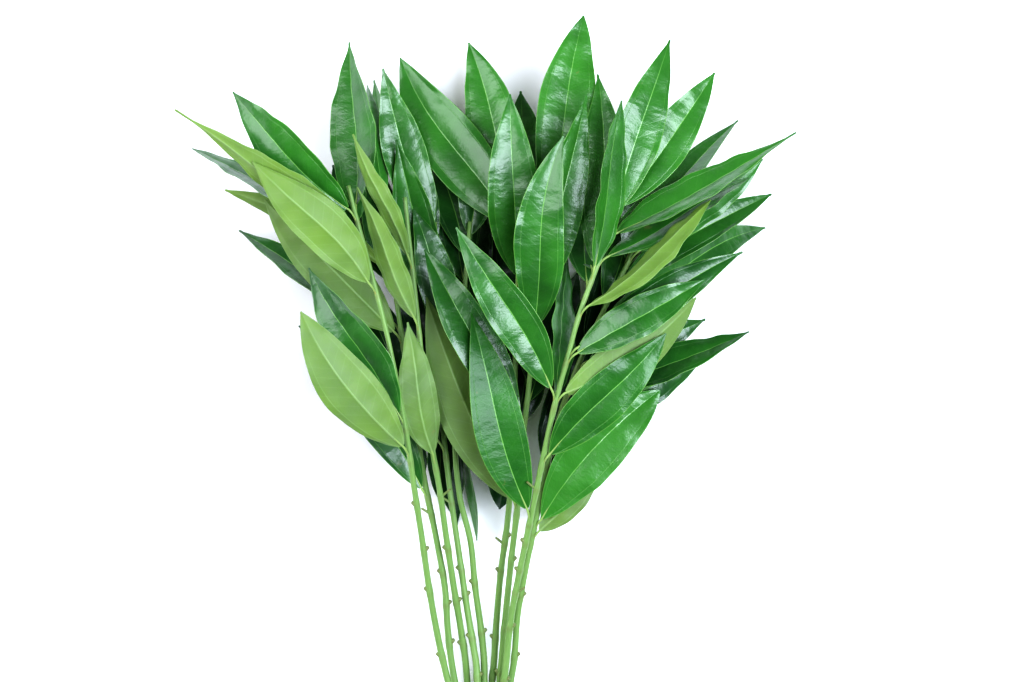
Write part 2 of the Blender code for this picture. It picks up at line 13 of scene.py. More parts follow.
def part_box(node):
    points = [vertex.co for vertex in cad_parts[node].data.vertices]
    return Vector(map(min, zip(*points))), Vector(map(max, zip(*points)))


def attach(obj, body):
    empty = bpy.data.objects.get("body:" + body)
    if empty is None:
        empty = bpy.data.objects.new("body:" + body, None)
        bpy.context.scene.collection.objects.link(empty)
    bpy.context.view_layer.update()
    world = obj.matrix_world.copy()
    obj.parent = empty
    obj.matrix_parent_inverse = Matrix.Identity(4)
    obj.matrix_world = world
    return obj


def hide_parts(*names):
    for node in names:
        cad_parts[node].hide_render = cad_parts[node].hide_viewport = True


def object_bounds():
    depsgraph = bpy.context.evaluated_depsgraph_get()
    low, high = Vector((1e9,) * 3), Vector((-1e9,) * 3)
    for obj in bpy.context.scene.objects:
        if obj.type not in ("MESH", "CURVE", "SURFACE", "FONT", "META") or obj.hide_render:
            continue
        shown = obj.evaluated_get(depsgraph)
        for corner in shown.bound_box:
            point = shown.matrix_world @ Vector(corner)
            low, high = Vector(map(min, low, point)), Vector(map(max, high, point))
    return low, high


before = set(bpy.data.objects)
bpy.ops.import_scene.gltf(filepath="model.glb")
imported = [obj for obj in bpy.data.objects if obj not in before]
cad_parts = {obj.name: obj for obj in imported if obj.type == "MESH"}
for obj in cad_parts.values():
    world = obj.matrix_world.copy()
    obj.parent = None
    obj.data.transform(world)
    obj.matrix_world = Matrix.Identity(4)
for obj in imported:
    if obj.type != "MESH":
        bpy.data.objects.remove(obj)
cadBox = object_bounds()
mm = 0.001

stem = {
    "radiusCut": 2.9,  # at the cut end
    "radiusTop": 1.5,  # at the last leaf
    "slotPitch": 6.5,  # between stems inside the band
    "cutY": -100.0,
    "pastCut": 20.0,  # from the cut end back to the first point of the centre line
    "splay": 2.0,  # of that point, sideways for each column
    "riseFrom": -12.0,  # where the stems start to climb
    "riseTo": 300.0,  # where they have reached the height of their head
    "around": 2.0,  # the way that a stem runs is taken between points this far on either side
    # the rough stem, with which the leaves are laid
    "sides": 6,
    "ringsAbove": 16,  # from the band to the top
    "ringBelow": 20.0,  # under the middle of the band
    "clear": 2.0,  # of the rings beside the band
}
band = {
    "x": -6.0,
    "y": -25.0,
    "thick": 1.3,
    "height": 9.0,
    "gap": 0.4,  # to the stems
    "straight": (18.0, 10.0),  # below and above its middle the stems run straight
    "strands": 6,
    "sides": 10,  # of a strand
    "cornerSteps": 8,
}
bandCentreZ = stem["slotPitch"] + stem["radiusCut"] + band["gap"] + band["thick"]

# slot in the band (column, row), height of the head, cut end, plan of the centre line
stemPlans = {
    1: (-1, 1, 100, 4, [(-29, 52), (-35, 80), (-40, 110), (-44, 140), (-49, 175), (-53, 205),
                        (-59, 240), (-67, 280), (-76, 315), (-86, 352), (-91, 372)]),
    2: (-1, 0, 62, -6, [(-25, 55), (-28, 80), (-30, 110), (-36, 145), (-42, 175), (-47, 205),
                        (-54, 250), (-61, 300), (-66, 340), (-69, 370)]),
    3: (-1, -1, 84, 2, [(-16, 55), (-20, 85), (-24, 110), (-29, 145), (-33, 175), (-38, 205),
                        (-43, 250), (-48, 300), (-53, 345), (-55, 365)]),
    4: (0, 1, 46, -9, [(-9, 55), (-12, 75), (-16, 100), (-21, 135), (-26, 170), (-30, 205),
                       (-34, 250), (-36, 300), (-36, 350)]),
    5: (0, 0, 56, 6, [(-4, 55), (-6, 80), (-10, 110), (-13, 140), (-20, 170), (-23, 205),
                      (-21, 250), (-17, 300), (-13, 350)]),
    6: (0, -1, 72, 0, [(2, 55), (4, 85), (7, 120), (11, 150), (14, 185), (16, 230),
                       (17, 280), (19, 330), (22, 365)]),
    7: (1, 0, 90, -3, [(7, 55), (10, 90), (14, 130), (18, 165), (21, 205), (26, 250),
                       (31, 300), (38, 350), (41, 368)]),
    8: (1, 1, 124, 8, [(10, 55), (13, 85), (18, 115), (25, 150), (33, 190), (41, 228),
                       (50, 262), (57, 288), (66, 313), (76, 340), (79, 352)]),
    9: (1, -1, 80, -5, [(15, 55), (18, 90), (23, 120), (29, 150), (35, 178), (42, 212),
                        (54, 248), (68, 280), (82, 308), (96, 336)]),
}

# scars of fallen leaves: y and side in plan, -1 left, 1 right
scars = {
    1: [(165, -1), (135, 1), (108, -1), (64, -1)],
    2: [(119, -1), (98, 1), (72, 1), (40, -1)],
    3: [(135, -1), (100, 1), (71, -1), (38, 1)],
    4: [(121, -1), (104, 1), (76, -1), (50, 1)],
    5: [(112, -1), (79, 1), (44, -1)],
    6: [(143, 1), (120, -1), (75, -1), (50, 1)],
    7: [(128, 1), (81, 1), (52, -1)],
    8: [(141, -1), (122, -1), (84, 1), (48, 1)],
    9: [(104, 1), (63, 1), (30, -1)],
}
scarSwell = 1.3  # of the stem's radius at a scar
scarReach = 1.4  # beyond that
scarRadii = (2.3, 1.1)  # at the stem and at the end

# petioles without a blade: y, side and length
barePetioles = {
    2: [(158, -1, 6)],
    3: [(170, 1, 7)],
    4: [(165, -1, 6), (139, 1, 6)],
    6: [(138, -1, 6)],
    8: [(107, 1, 6), (176, -1, 7)],
}
barePetioleRadii = (1.1, 0.7)
spurLean = (0.8, 0.25)  # along the stem and up, for one sideways

blade = {
    "thick": 0.7,
    "petioleThick": 1.5,
    "petioleLength": 11.0,
    "petioleLift": 4.0,
    "petioleWay": (0.6, 0.4),  # towards the tip and along the stem
    "steepDrop": 20.0,  # a tip this far under its root takes the base down as well
    "lastRoot": 2.0,  # no petiole leaves nearer to the top of its stem
    "bow": 0.07,  # arch, share of the length
    "tipCurls": (0.55, 0.45),  # from where, and over what share of the length
    "untwisted": 0.4,  # share of the length at which the twist is nought
    "basePower": 0.8,  # shapes the base of the outline
    "clearance": 0.5,
    "floorSlack": 0.01,
    # each leaf draws its own from these
    "tipPower": (0.92, 1.2),  # more gives a longer, thinner tip
    "twist": (-24.0, 24.0),  # from base to tip, degrees
    "fold": (0.12, 0.27),  # rise of the edges, share of the half width
    "curl": (-0.03, 0.06),  # drop of the tip, share of the length
    "sway": (-0.016, 0.016),  # s-bend of the midrib, share of the length
    # the rough leaf, with which the leaves are laid
    "petioleStations": (0.0, 0.55),
    "stations": (0.03, 0.16, 0.34, 0.52, 0.70, 0.86, 1.0),
    "tipHalfWidth": 0.5,
}
inPetiole = len(blade["petioleStations"])
bladeOnly = inPetiole + 1  # from this section on a leaf keeps clear of its own stem

# front to back: stem, y on the stem, tip x, tip y, rise of the tip, width, turn, and where a leaf
# has them its sideways bow and what is its own instead of drawn
leafRows = [
    (8, 152, -12, 290, 22, 33, 5, -0.02, {"dull": 1.0}),
    (3, 188, -53, 284, 30, 27, 196, -0.02),
    (8, 231, -21, 344, 22, 30, -12, 0.02),
    (7, 210, -42, 331, 20, 31, 12),
    (7, 158, -41, 300, 26, 38, 188, -0.03),
    (8, 190, 113, 277, 22, 32, 10, 0.0, {"tone": 0.55, "dull": 0.7}),
    (1, 194, -121, 291, 38, 37, 176, -0.05),
    (1, 300, -151, 386, 22, 33, 172, 0.03),
    (7, 270, 47, 402, 46, 33, -8, -0.04),
    (7, 292, 62, 429, 20, 31, 10),
    (8, 308, 84, 425, 6, 28, 50),
    (6, 303, 13, 430, 30, 35, -4),
    (8, 226, 50, 327, -10, 27, 42),
    (1, 206, -118, 320, 18, 36, -14),
    (2, 268, -147, 364, 14, 36, 186),
    (8, 344, 116, 466, 4, 31, 10, -0.01),
    (8, 348, 145, 445, -4, 29, 14, 0.015),
    (8, 311, 70, 446, -14, 33, -26, 0.04),
    (8, 333, 197, 406, 4, 31, -48, 0.015, {"tipPower": 1.6}),
    (8, 341, 162, 416, -6, 26, -44, 0.03),
    (8, 256, 137, 311, 12, 28, -24),
    (8, 268, 162, 329, 4, 29, -18),
    (8, 277, 141, 362, 6, 27, 134, 0.03),
    (8, 318, 169, 378, -4, 28, -50),
    (8, 230, 133, 300, -6, 33, 200, 0.06),
    (9, 146, 111, 240, 14, 39, 12, -0.055, {"tipPower": 0.8, "tone": 1.3}),
    (9, 138, 76, 192, 0, 22, 190),
    (5, 262, -50, 358, 26, 26, 8),
    (5, 210, -24, 299, 22, 26, 52),
    (6, 186, -18, 298, 10, 26, -46),
    (3, 276, -85, 370, 24, 20, 152),
    (3, 316, -88, 405, 16, 15, 150),
    (4, 290, -61, 403, 30, 29, -14),
    (4, 335, -70, 450, 26, 30, 12, -0.03),
    (6, 336, -59, 458, 26, 41, 6, -0.03, {"tipPower": 0.95}),
    (6, 347, -14, 468, 18, 37, -4, 0.0, {"tone": 0.95}),
    (7, 346, 61, 484, 0, 38, 4, -0.01, {"tipPower": 0.9, "tone": 1.0}),
    (7, 322, 38, 427, 0, 26, 55),
    (6, 340, 20, 437, 4, 33, 10),
    (1, 348, -92, 467, 10, 36, -32, 0.015, {"tipPower": 1.25, "fold": 0.28}),
    (1, 340, -97, 400, 14, 18, 30),
    (1, 338, -203, 421, 4, 29, 136, -0.02, {"tipPower": 1.9}),
    (1, 355, -166, 433, -2, 34, -8, -0.036),
    (1, 326, -197, 399, -10, 26, 46),
    (2, 312, -174, 371, 10, 22, 140, 0.06),
    (2, 276, -168, 346, -50, 26, 44, -0.015),
    (2, 352, -81, 441, 10, 21, 60),
    (2, 344, -77, 444, 4, 21, -56),
    (2, 165, -100, 256, -4, 27, 8, 0.02),
    (9, 322, 177, 390, 14, 28, 34),
    (9, 300, 184, 368, 0, 24, -15, -0.04),
    (9, 280, 184, 348, -84, 28, 14, -0.03),
    (9, 226, 168, 278, 8, 30, -40, 0.03),
    (9, 252, 140, 286, -6, 28, 20),
    (9, 206, 139, 259, 2, 30, 30),
]

innerLeafRows = [
    (2, 306, -82, 400, -16, 25, 10),
    (7, 222, 58, 318, -20, 25, 0),
    (4, 232, -22, 149, -26, 24, 30),
    (5, 226, -9, 140, -30, 20, 58),
    (6, 226, 6, 160, -36, 24, 0),
    (4, 237, -32, 162, -30, 20, -20),
    (8, 291, 60, 398, -14, 27, 0),
    (9, 330, 142, 402, -6, 28, 20),
    (9, 314, 110, 418, -16, 28, 10),
    (9, 310, 138, 384, -10, 28, -30),
    (9, 286, 104, 386, -20, 28, -10),
    (9, 268, 134, 350, -10, 28, 24),
    (9, 258, 96, 352, -20, 28, 8),
    (9, 240, 128, 318, -14, 28, -20),
    (9, 230, 82, 326, -20, 28, 10),
    (9, 204, 84, 296, -20, 28, -10),
    (9, 190, 100, 268, -10, 28, 14),
    (9, 176, 60, 274, -16, 28, 8),
    (7, 240, 42, 344, -10, 28, 12),
    (6, 262, 44, 362, -24, 28, 10),
    (6, 236, 2, 340, -10, 28, -10),
    (6, 196, 30, 296, -16, 28, 10),
    (5, 330, 2, 428, -10, 28, 8),
    (5, 318, -40, 416, -12, 28, 8),
    (5, 300, -26, 398, -6, 28, 16),
    (5, 262, -4, 366, -6, 28, -14),
    (4, 322, -62, 414, -10, 28, -8),
    (4, 270, -30, 366, -8, 28, -14),
    (4, 242, -62, 340, -10, 28, 10),
    (4, 226, -57, 313, 16, 27, -50),
    (2, 300, -104, 388, -14, 28, 8),
    (2, 238, -92, 320, -14, 28, 10),
]

back = {
    "nodeStep": 21.0,
    "firstY": 160.0,
    "turnOn": 144.0,  # two fifths of a turn from one leaf to the next
    "length": (92.0, 122.0),
    "width": (25.0, 35.0),
    "spread": (28.0, 52.0),  # from the stem, degrees
    "turn": 60.0,  # of a blade that points sideways, degrees
    "turnShare": (0.2, 0.8),
    "seed": 11,
    "middle": (0.0, 330.0),  # no tip lies outside this ellipse
    "reach": (160.0, 112.0),
    "most": 17,  # leaves on a stem
}
# what a leaf may move to find room: along the stem, up, about its midrib, in its arch
slides = (0.0, -8.0, 8.0)
lifts = [step * 6.0 for step in range(-14, 9)]
turns = (0.0, -14.0, 14.0)
bows = (0.0, -0.05)
oneStep = (6, 8, 10, 0.04)  # how much of each counts the same


def smooth(share):
    share = min(1.0, max(0.0, share))
    return share * share * (3 - 2 * share)


def makeStem(number):
    column, row, head, extra, plan = stemPlans[number]
    slotX = band["x"] + column * stem["slotPitch"]
    below, above = band["straight"]
    return {
        "number": number,
        "head": head,
        "slotZ": bandCentreZ + row * stem["slotPitch"],
        "cutY": stem["cutY"] + extra,
        "topY": plan[-1][1],
        "spurs": [],
        "points": [(slotX + column * stem["splay"], stem["cutY"] - stem["pastCut"]),
                   (slotX, band["y"] - below), (slotX, band["y"] + above)] + plan,
    }


def stemX(one, y):
    p = one["points"]
    i = max(0, min(len(p) - 2, sum(1 for q in p if q[1] <= y) - 1))

    def slope(k):
        a, b = p[max(0, k - 1)], p[min(len(p) - 1, k + 1)]
        return (b[0] - a[0]) / (b[1] - a[1])

    (x0, y0), (x1, y1) = p[i], p[i + 1]
    h = y1 - y0
    t = (y - y0) / h
    return ((2 * t ** 3 - 3 * t * t + 1) * x0 + (t ** 3 - 2 * t * t + t) * h * slope(i)
            + (3 * t * t - 2 * t ** 3) * x1 + (t ** 3 - t * t) * h * slope(i + 1))


def stemAt(one, y):
    climb = smooth((y - stem["riseFrom"]) / (stem["riseTo"] - stem["riseFrom"]))
    return Vector((stemX(one, y), y, one["slotZ"] + (one["head"] - one["slotZ"]) * climb))


def stemAlong(one, y):
    return (stemAt(one, y + stem["around"]) - stemAt(one, y - stem["around"])).normalized()


def stemRadius(one, y):
    share = (y - one["cutY"]) / (one["topY"] - one["cutY"])
    return stem["radiusCut"] + (stem["radiusTop"] - stem["radiusCut"]) * share


def ring(centre, across, upward, radius, sides, turned=0.0):
    turns = [2 * math.pi * (i + turned) / sides for i in range(sides)]
    return [centre + (across * math.cos(a) + upward * math.sin(a)) * radius for a in turns]


def ringFaces(rings, sides, split=True):
    # between the rings and at both ends, the sides split into triangles or whole
    faces = [tuple(range(sides))[::-1], tuple(range((rings - 1) * sides, rings * sides))]
    for k in range(rings - 1):
        for i in range(sides):
            j = (i + 1) % sides
            a, b = k * sides, (k + 1) * sides
            if split:
                faces += [(a + i, a + j, b + j), (a + i, b + j, b + i)]
            else:
                faces.append((a + i, a + j, b + j, b + i))
    return faces


def roughStem(one):
    clearOfBand = band["height"] / 2 + stem["clear"]
    levels = [one["cutY"], band["y"] - stem["ringBelow"], band["y"] - clearOfBand]
    start = band["y"] + clearOfBand
    step = (one["topY"] - start) / (stem["ringsAbove"] - 1)
    levels += [start + step * k for k in range(stem["ringsAbove"])]
    points = []
    for y in levels:
        centre, ahead = stemAt(one, y), stemAlong(one, y)
        across = ahead.cross(Vector((0, 0, 1))).normalized()
        points += ring(centre, across, across.cross(ahead), stemRadius(one, y), stem["sides"], 0.5)
    return points, ringFaces(len(levels), stem["sides"])


def spurWay(one, y, side):
    withStem, up = spurLean
    return (Vector((side, 0, up)) + stemAlong(one, y) * withStem).normalized()


def roughSpur(one, y, side, length, radii):
    centre, out = stemAt(one, y), spurWay(one, y, side)
    across = out.cross(Vector((0, 0, 1))).normalized()
    upward = across.cross(out)
    points = []
    for distance, radius in ((0.0, radii[0]), (length, radii[1])):
        for a, b in ((1, 0), (0, 1), (-1, 0), (0, -1)):
            points.append(centre + out * distance + (across * a + upward * b) * radius)
    return points, ringFaces(2, 4)


def growSpurs(one, others):
    wishes = [(y, side, stemRadius(one, y) * scarSwell + scarReach, scarRadii)
              for y, side in scars.get(one["number"], [])]
    wishes += [(y, side, stemRadius(one, y) + length, barePetioleRadii)
               for y, side, length in barePetioles.get(one["number"], [])]
    for y, side, length, radii in wishes:
        fat = [radius + blade["clearance"] for radius in radii]
        room = treeOf(roughSpur(one, y, side, length + blade["clearance"], fat))
        if not any(room.overlap(other) for other in others):
            one["spurs"].append((y, side, length, radii))


def shifted(faces, start):
    return [tuple(i + start for i in face) for face in faces]


def merged(meshes):
    points, faces = [], []
    for morePoints, moreFaces in meshes:
        faces += shifted(moreFaces, len(points))
        points += morePoints
    return points, faces


def spurMeshes(one):
    return [roughSpur(one, *spur) for spur in one["spurs"]]


def halfWidth(t, width, tipPower):
    a, b = blade["basePower"], tipPower
    rounded = (t ** a) * ((1 - t) ** b)
    most = (a / (a + b)) ** a * (b / (a + b)) ** b
    return max(blade["tipHalfWidth"], 0.5 * width * rounded / most)


def character(tipX, tipY, own):
    # how this leaf differs from the next: twist, fold, curl of the tip, sway of the midrib, outline
    draw = random.Random(int(tipX * 7 + tipY * 3))
    drawn = {key: draw.uniform(*blade[key]) for key in ("twist", "fold", "curl", "sway", "tipPower")}
    return {"tone": None, "dull": 0.0, **drawn, **(own or {})}


def makeLeaf(one, rootY, tipX, tipY, height, width, turn, bend, bow, own):
    leaf = {"stem": one, "width": width, "rootY": rootY, **character(tipX, tipY, own)}
    leaf["turn"], leaf["twist"] = math.radians(turn), math.radians(leaf["twist"])
    leaf["root"] = stemAt(one, rootY)
    leaf["tip"] = Vector((tipX, tipY, max(leaf["root"].z + height, blade["thick"] / 2)))
    toTip, withStem = blade["petioleWay"]
    reach = (leaf["tip"] - leaf["root"]).normalized()
    leaf["ahead"] = (reach * toTip + stemAlong(one, rootY) * withStem).normalized()
    leaf["base"] = leaf["root"] + leaf["ahead"] * blade["petioleLength"]
    leaf["base"].z += blade["petioleLift"]
    if leaf["tip"].z < leaf["root"].z - blade["steepDrop"]:
        leaf["base"].z -= 2 * blade["petioleLift"]
    leaf["chord"] = leaf["tip"] - leaf["base"]
    size = leaf["chord"].length
    leaf["bow"], leaf["bend"] = bow * size, bend * size
    leaf["curl"] *= size
    leaf["sway"] *= size
    ahead = leaf["chord"].normalized()
    leaf["upright"] = (Vector((0, 0, 1)) - ahead * ahead.z).normalized()
    leaf["sideways"] = ahead.cross(leaf["upright"])
    leaf["arch"] = Vector((0, 0, 1)) - ahead * ahead.z
    return leaf


def midribAt(leaf, t):
    start, over = blade["tipCurls"]
    arched = leaf["bow"] * 4 * t * (1 - t) - leaf["curl"] * max(0.0, (t - start) / over) ** 2
    aside = leaf["bend"] * 4 * t * (1 - t) + leaf["sway"] * math.sin(2 * math.pi * t)
    return leaf["base"] + leaf["chord"] * t + leaf["arch"] * arched + leaf["sideways"] * aside


def facing(leaf, t):
    # the way that the upper side faces at t, and the way across the blade
    a = leaf["turn"] + leaf["twist"] * (t - blade["untwisted"])
    up, aside = leaf["upright"], leaf["sideways"]
    return up * math.cos(a) + aside * math.sin(a), aside * math.cos(a) - up * math.sin(a)


def roughSections(leaf, margin=0.0):
    petiole = leaf["base"] - leaf["root"]
    lines = []
    for share in blade["petioleStations"]:
        lines.append((leaf["root"] + petiole * share, 0.0, blade["petioleThick"] / 2, blade["petioleThick"]))
    for t in blade["stations"]:
        lines.append((midribAt(leaf, t), t, halfWidth(t, leaf["width"], leaf["tipPower"]), blade["thick"]))
    grid, facings = [], []
    for k, (centre, t, half, _) in enumerate(lines):
        over, side = facing(leaf, t)
        fold = leaf["fold"] * half if k >= inPetiole else 0.0
        grid.append([centre - side * (half + margin) + over * fold, centre,
                     centre + side * (half + margin) + over * fold])
        facings.append(over)
    for row in grid[inPetiole:]:
        for point in row:
            point.z = max(point.z, blade["thick"] / 2)
    rings = []
    for k, row in enumerate(grid):
        before, after = grid[max(0, k - 1)][1], grid[min(len(grid) - 1, k + 1)][1]
        normal = (row[2] - row[0]).cross(after - before)
        normal = normal.normalized() if normal.length > 1e-9 else facings[k]
        if normal.dot(facings[k]) < 0:
            normal = -normal
        thick = normal * (lines[k][3] / 2 + margin)
        rings.append([row[0] + thick, row[1] + thick, row[2] + thick,
                      row[2] - thick, row[1] - thick, row[0] - thick])
    return rings


def roughLeaf(leaf, margin=0.0, first=0):
    rings = roughSections(leaf, margin)[first:]
    return [p for section in rings for p in section], ringFaces(len(rings), len(rings[0]))


def treeOf(mesh):
    points, faces = mesh
    return BVHTree.FromPolygons([tuple(p) for p in points], faces)


def boxOf(points):
    cloud = np.array([tuple(p) for p in points])
    return cloud.min(0), cloud.max(0)


def boxesMeet(a, b):
    return bool((a[0] <= b[1]).all() and (b[0] <= a[1]).all())


# the leaves are laid front ones first, each one clear of what lies there already, and only the
# petiole of a leaf may touch its own stem
def isClear(leaf, laidStems, laid):
    gap = blade["clearance"]
    whole, justBlade = roughLeaf(leaf, gap), roughLeaf(leaf, gap, first=bladeOnly)
    box = boxOf(whole[0])
    if box[0][2] < -gap - blade["floorSlack"]:
        return False
    wholeTree, bladeTree = None, treeOf(justBlade)
    for one, tree, stemBox in laidStems:
        if not boxesMeet(box, stemBox):
            continue
        if one is leaf["stem"]:
            if bladeTree.overlap(tree):
                return False
            continue
        wholeTree = wholeTree or treeOf(whole)
        if wholeTree.overlap(tree):
            return False
    for other, otherWhole, otherBlade, otherBox in laid:
        if not boxesMeet(box, otherBox):
            continue
        wholeTree = wholeTree or treeOf(whole)
        if other["stem"] is leaf["stem"]:
            if bladeTree.overlap(otherWhole) or wholeTree.overlap(otherBlade):
                return False
        elif wholeTree.overlap(otherWhole):
            return False
    return True


# no blade lies on top of one that is in front of it
def liesBeneath(leaf, laid):
    samples = [point for section in roughSections(leaf)[bladeOnly:] for point in section[:3]]
    down = Vector((0, 0, -1))
    low, high = boxOf(samples)
    for _, _, otherBlade, box in laid:
        if (low[:2] > box[1][:2]).any() or (high[:2] < box[0][:2]).any():
            continue
        for point in samples:
            if otherBlade.ray_cast(point, down)[0] is not None:
                return False
    return True


def moveCost(slide, lift, turn, bow):
    return abs(slide) / oneStep[0] + abs(lift) / oneStep[1] + abs(turn) / oneStep[2] - bow / oneStep[3]


trials = sorted((moveCost(*move), *move) for move in itertools.product(slides, lifts, turns, bows))


def settle(laidStems, laid, one, rootY, tipX, tipY, rise, width, turn, bend=0.0, own=None):
    for _, slide, lift, moreTurn, moreBow in trials:
        at = min(rootY + slide, one["topY"] - blade["lastRoot"])
        leaf = makeLeaf(one, at, tipX, tipY, rise + lift, width, turn + moreTurn, bend,
                        blade["bow"] + moreBow, own)
        if isClear(leaf, laidStems, laid) and liesBeneath(leaf, laid):
            whole = roughLeaf(leaf)
            laid.append((leaf, treeOf(whole), treeOf(roughLeaf(leaf, first=bladeOnly)), boxOf(whole[0])))
            return


def backRows(stems):
    draw = random.Random(back["seed"])
    rows = []
    for one in stems:
        around = draw.uniform(0, 360)
        y = back["firstY"] + draw.uniform(0, back["nodeStep"])
        while y < one["topY"]:
            around += back["turnOn"]
            spread = math.radians(draw.uniform(*back["spread"]))
            length = draw.uniform(*back["length"])
            a = math.radians(around)
            out = math.sin(spread) * length
            tipX = stemX(one, y) + out * math.cos(a)
            tipY = y + math.cos(spread) * length + blade["petioleLength"]
            rise = -abs(out * math.sin(a))
            turn = back["turn"] * math.cos(a) * draw.uniform(*back["turnShare"])
            row = (one["number"], y, tipX, tipY, rise, draw.uniform(*back["width"]), turn)
            across = (tipX - back["middle"][0]) / back["reach"][0]
            along = (tipY - back["middle"][1]) / back["reach"][1]
            if math.hypot(across, along) < 1:
                rows.append(row)
            y += back["nodeStep"]
    rows.sort(key=lambda row: -row[4])
    return rows


def layLeaves(stems):
    for one in stems:
        growSpurs(one, [treeOf(merged([roughStem(other)] + spurMeshes(other)))
                        for other in stems if other is not one])
    laidStems = []
    for one in stems:
        whole = merged([roughStem(one)] + spurMeshes(one))
        laidStems.append((one, treeOf(whole), boxOf(whole[0])))
    laid = []
    byNumber = {one["number"]: one for one in stems}
    for row in leafRows + sorted(innerLeafRows, key=lambda row: -row[1]):
        settle(laidStems, laid, byNumber[row[0]], *row[1:])
    for row in backRows(stems):
        one = byNumber[row[0]]
        if sum(1 for entry in laid if entry[0]["stem"] is one) < back["most"]:
            settle(laidStems, laid, one, *row[1:])
    return [entry[0] for entry in laid]


stems = [makeStem(number) for number in stemPlans]
leaves = layLeaves(stems)
print("leaves laid:", len(leaves))

# the plan's millimetres to the model's metres, from where the band is
tieLow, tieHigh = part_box("tie")
moved = Vector(((tieLow.x + tieHigh.x) / 2 - band["x"] * mm, (tieLow.y + tieHigh.y) / 2 - band["y"] * mm,
                tieLow.z))
underTop = 0.5  # no blade comes nearer to the top of the solids' box
highest = (cadBox[1].z - tieLow.z) / mm - underTop

leafShape = {
    "along": 44,  # stations from base to tip
    "across": (0.025, 0.07, 0.16, 0.3, 0.46, 0.61, 0.71, 0.77, 0.84, 0.92, 0.975, 1.0),
    "start": 0.012,  # of the blade on its midrib, share of the length
    "tipHalfWidth": 0.85,
    "tipRound": (0.92, 0.72, 0.35),  # the last stations
    "thick": 0.42,
    "edgeThin": 0.5,  # how much of the thickness the edge loses
    "ribHeight": 0.45,  # of the midrib under the blade
    "ribWidth": 0.8,
    "ribFade": 0.7,  # more makes the midrib flatter before the tip
    "groove": 0.1,  # of the midrib in the upper side
    "foldSoft": 0.003,  # rounds the fold at the midrib
    "sideRib": 0.76,  # where the two side ribs run, share of the half width
    "pillow": 0.028,  # swell between the ribs, share of the half width
    "strip": (-0.14, 0.10),  # turn of the strip beyond the side rib, share of the half width
    "stripTurns": 5.0,  # how fast it changes along the blade
    "wander": (0.02, 13.0),  # of the outline: share of the half width, and how fast
    "edgeWave": 0.75,  # up and down at the edge
    "waves": 4.2,  # along the blade
    "swell": 0.38,  # up and down of the whole blade, in patches
    "swellMm": (17.0, 12.0),  # along and across
    "swirl": (1.7, 1.3),  # keeps the patches out of rows
    "fullFrom": (8.0, 6.0),  # half width from which edge wave and swell are full
    "floorGap": (0.03, 0.02),  # of the middle and of the underside
    "reliefs": (1.0, 0.55, 0.25, 0.0),  # tried in this order
    "seed": 100,
}
petioleShape = {
    "rings": 9,
    "sides": 8,
    "pull": 0.4,  # how far its ends run straight, share of the length
    "radiusStem": 1.05,
    "radiusMiddle": 0.62,
    "radiusBlade": 0.8,
    "runsIn": 0.16,  # share of the blade that it tapers into
    "ringsIn": 5,
    "sinks": 0.25,  # under the blade there
    "thins": 0.8,  # share of its radius that it loses there
}
stemShape = {
    "step": 3.0,  # between rings
    "sides": 18,
    "slim": 0.93,  # of the rough stem, which the nodes swell again
    "nodeSwell": 0.16,
    "nodeReach": 3.2,
    "spurSides": 10,
    "spurSteps": 4,
    "spurSlim": 0.9,
}
topKind, underKind, petioleKind = range(3)  # of a leaf's faces, in the order of its finishes


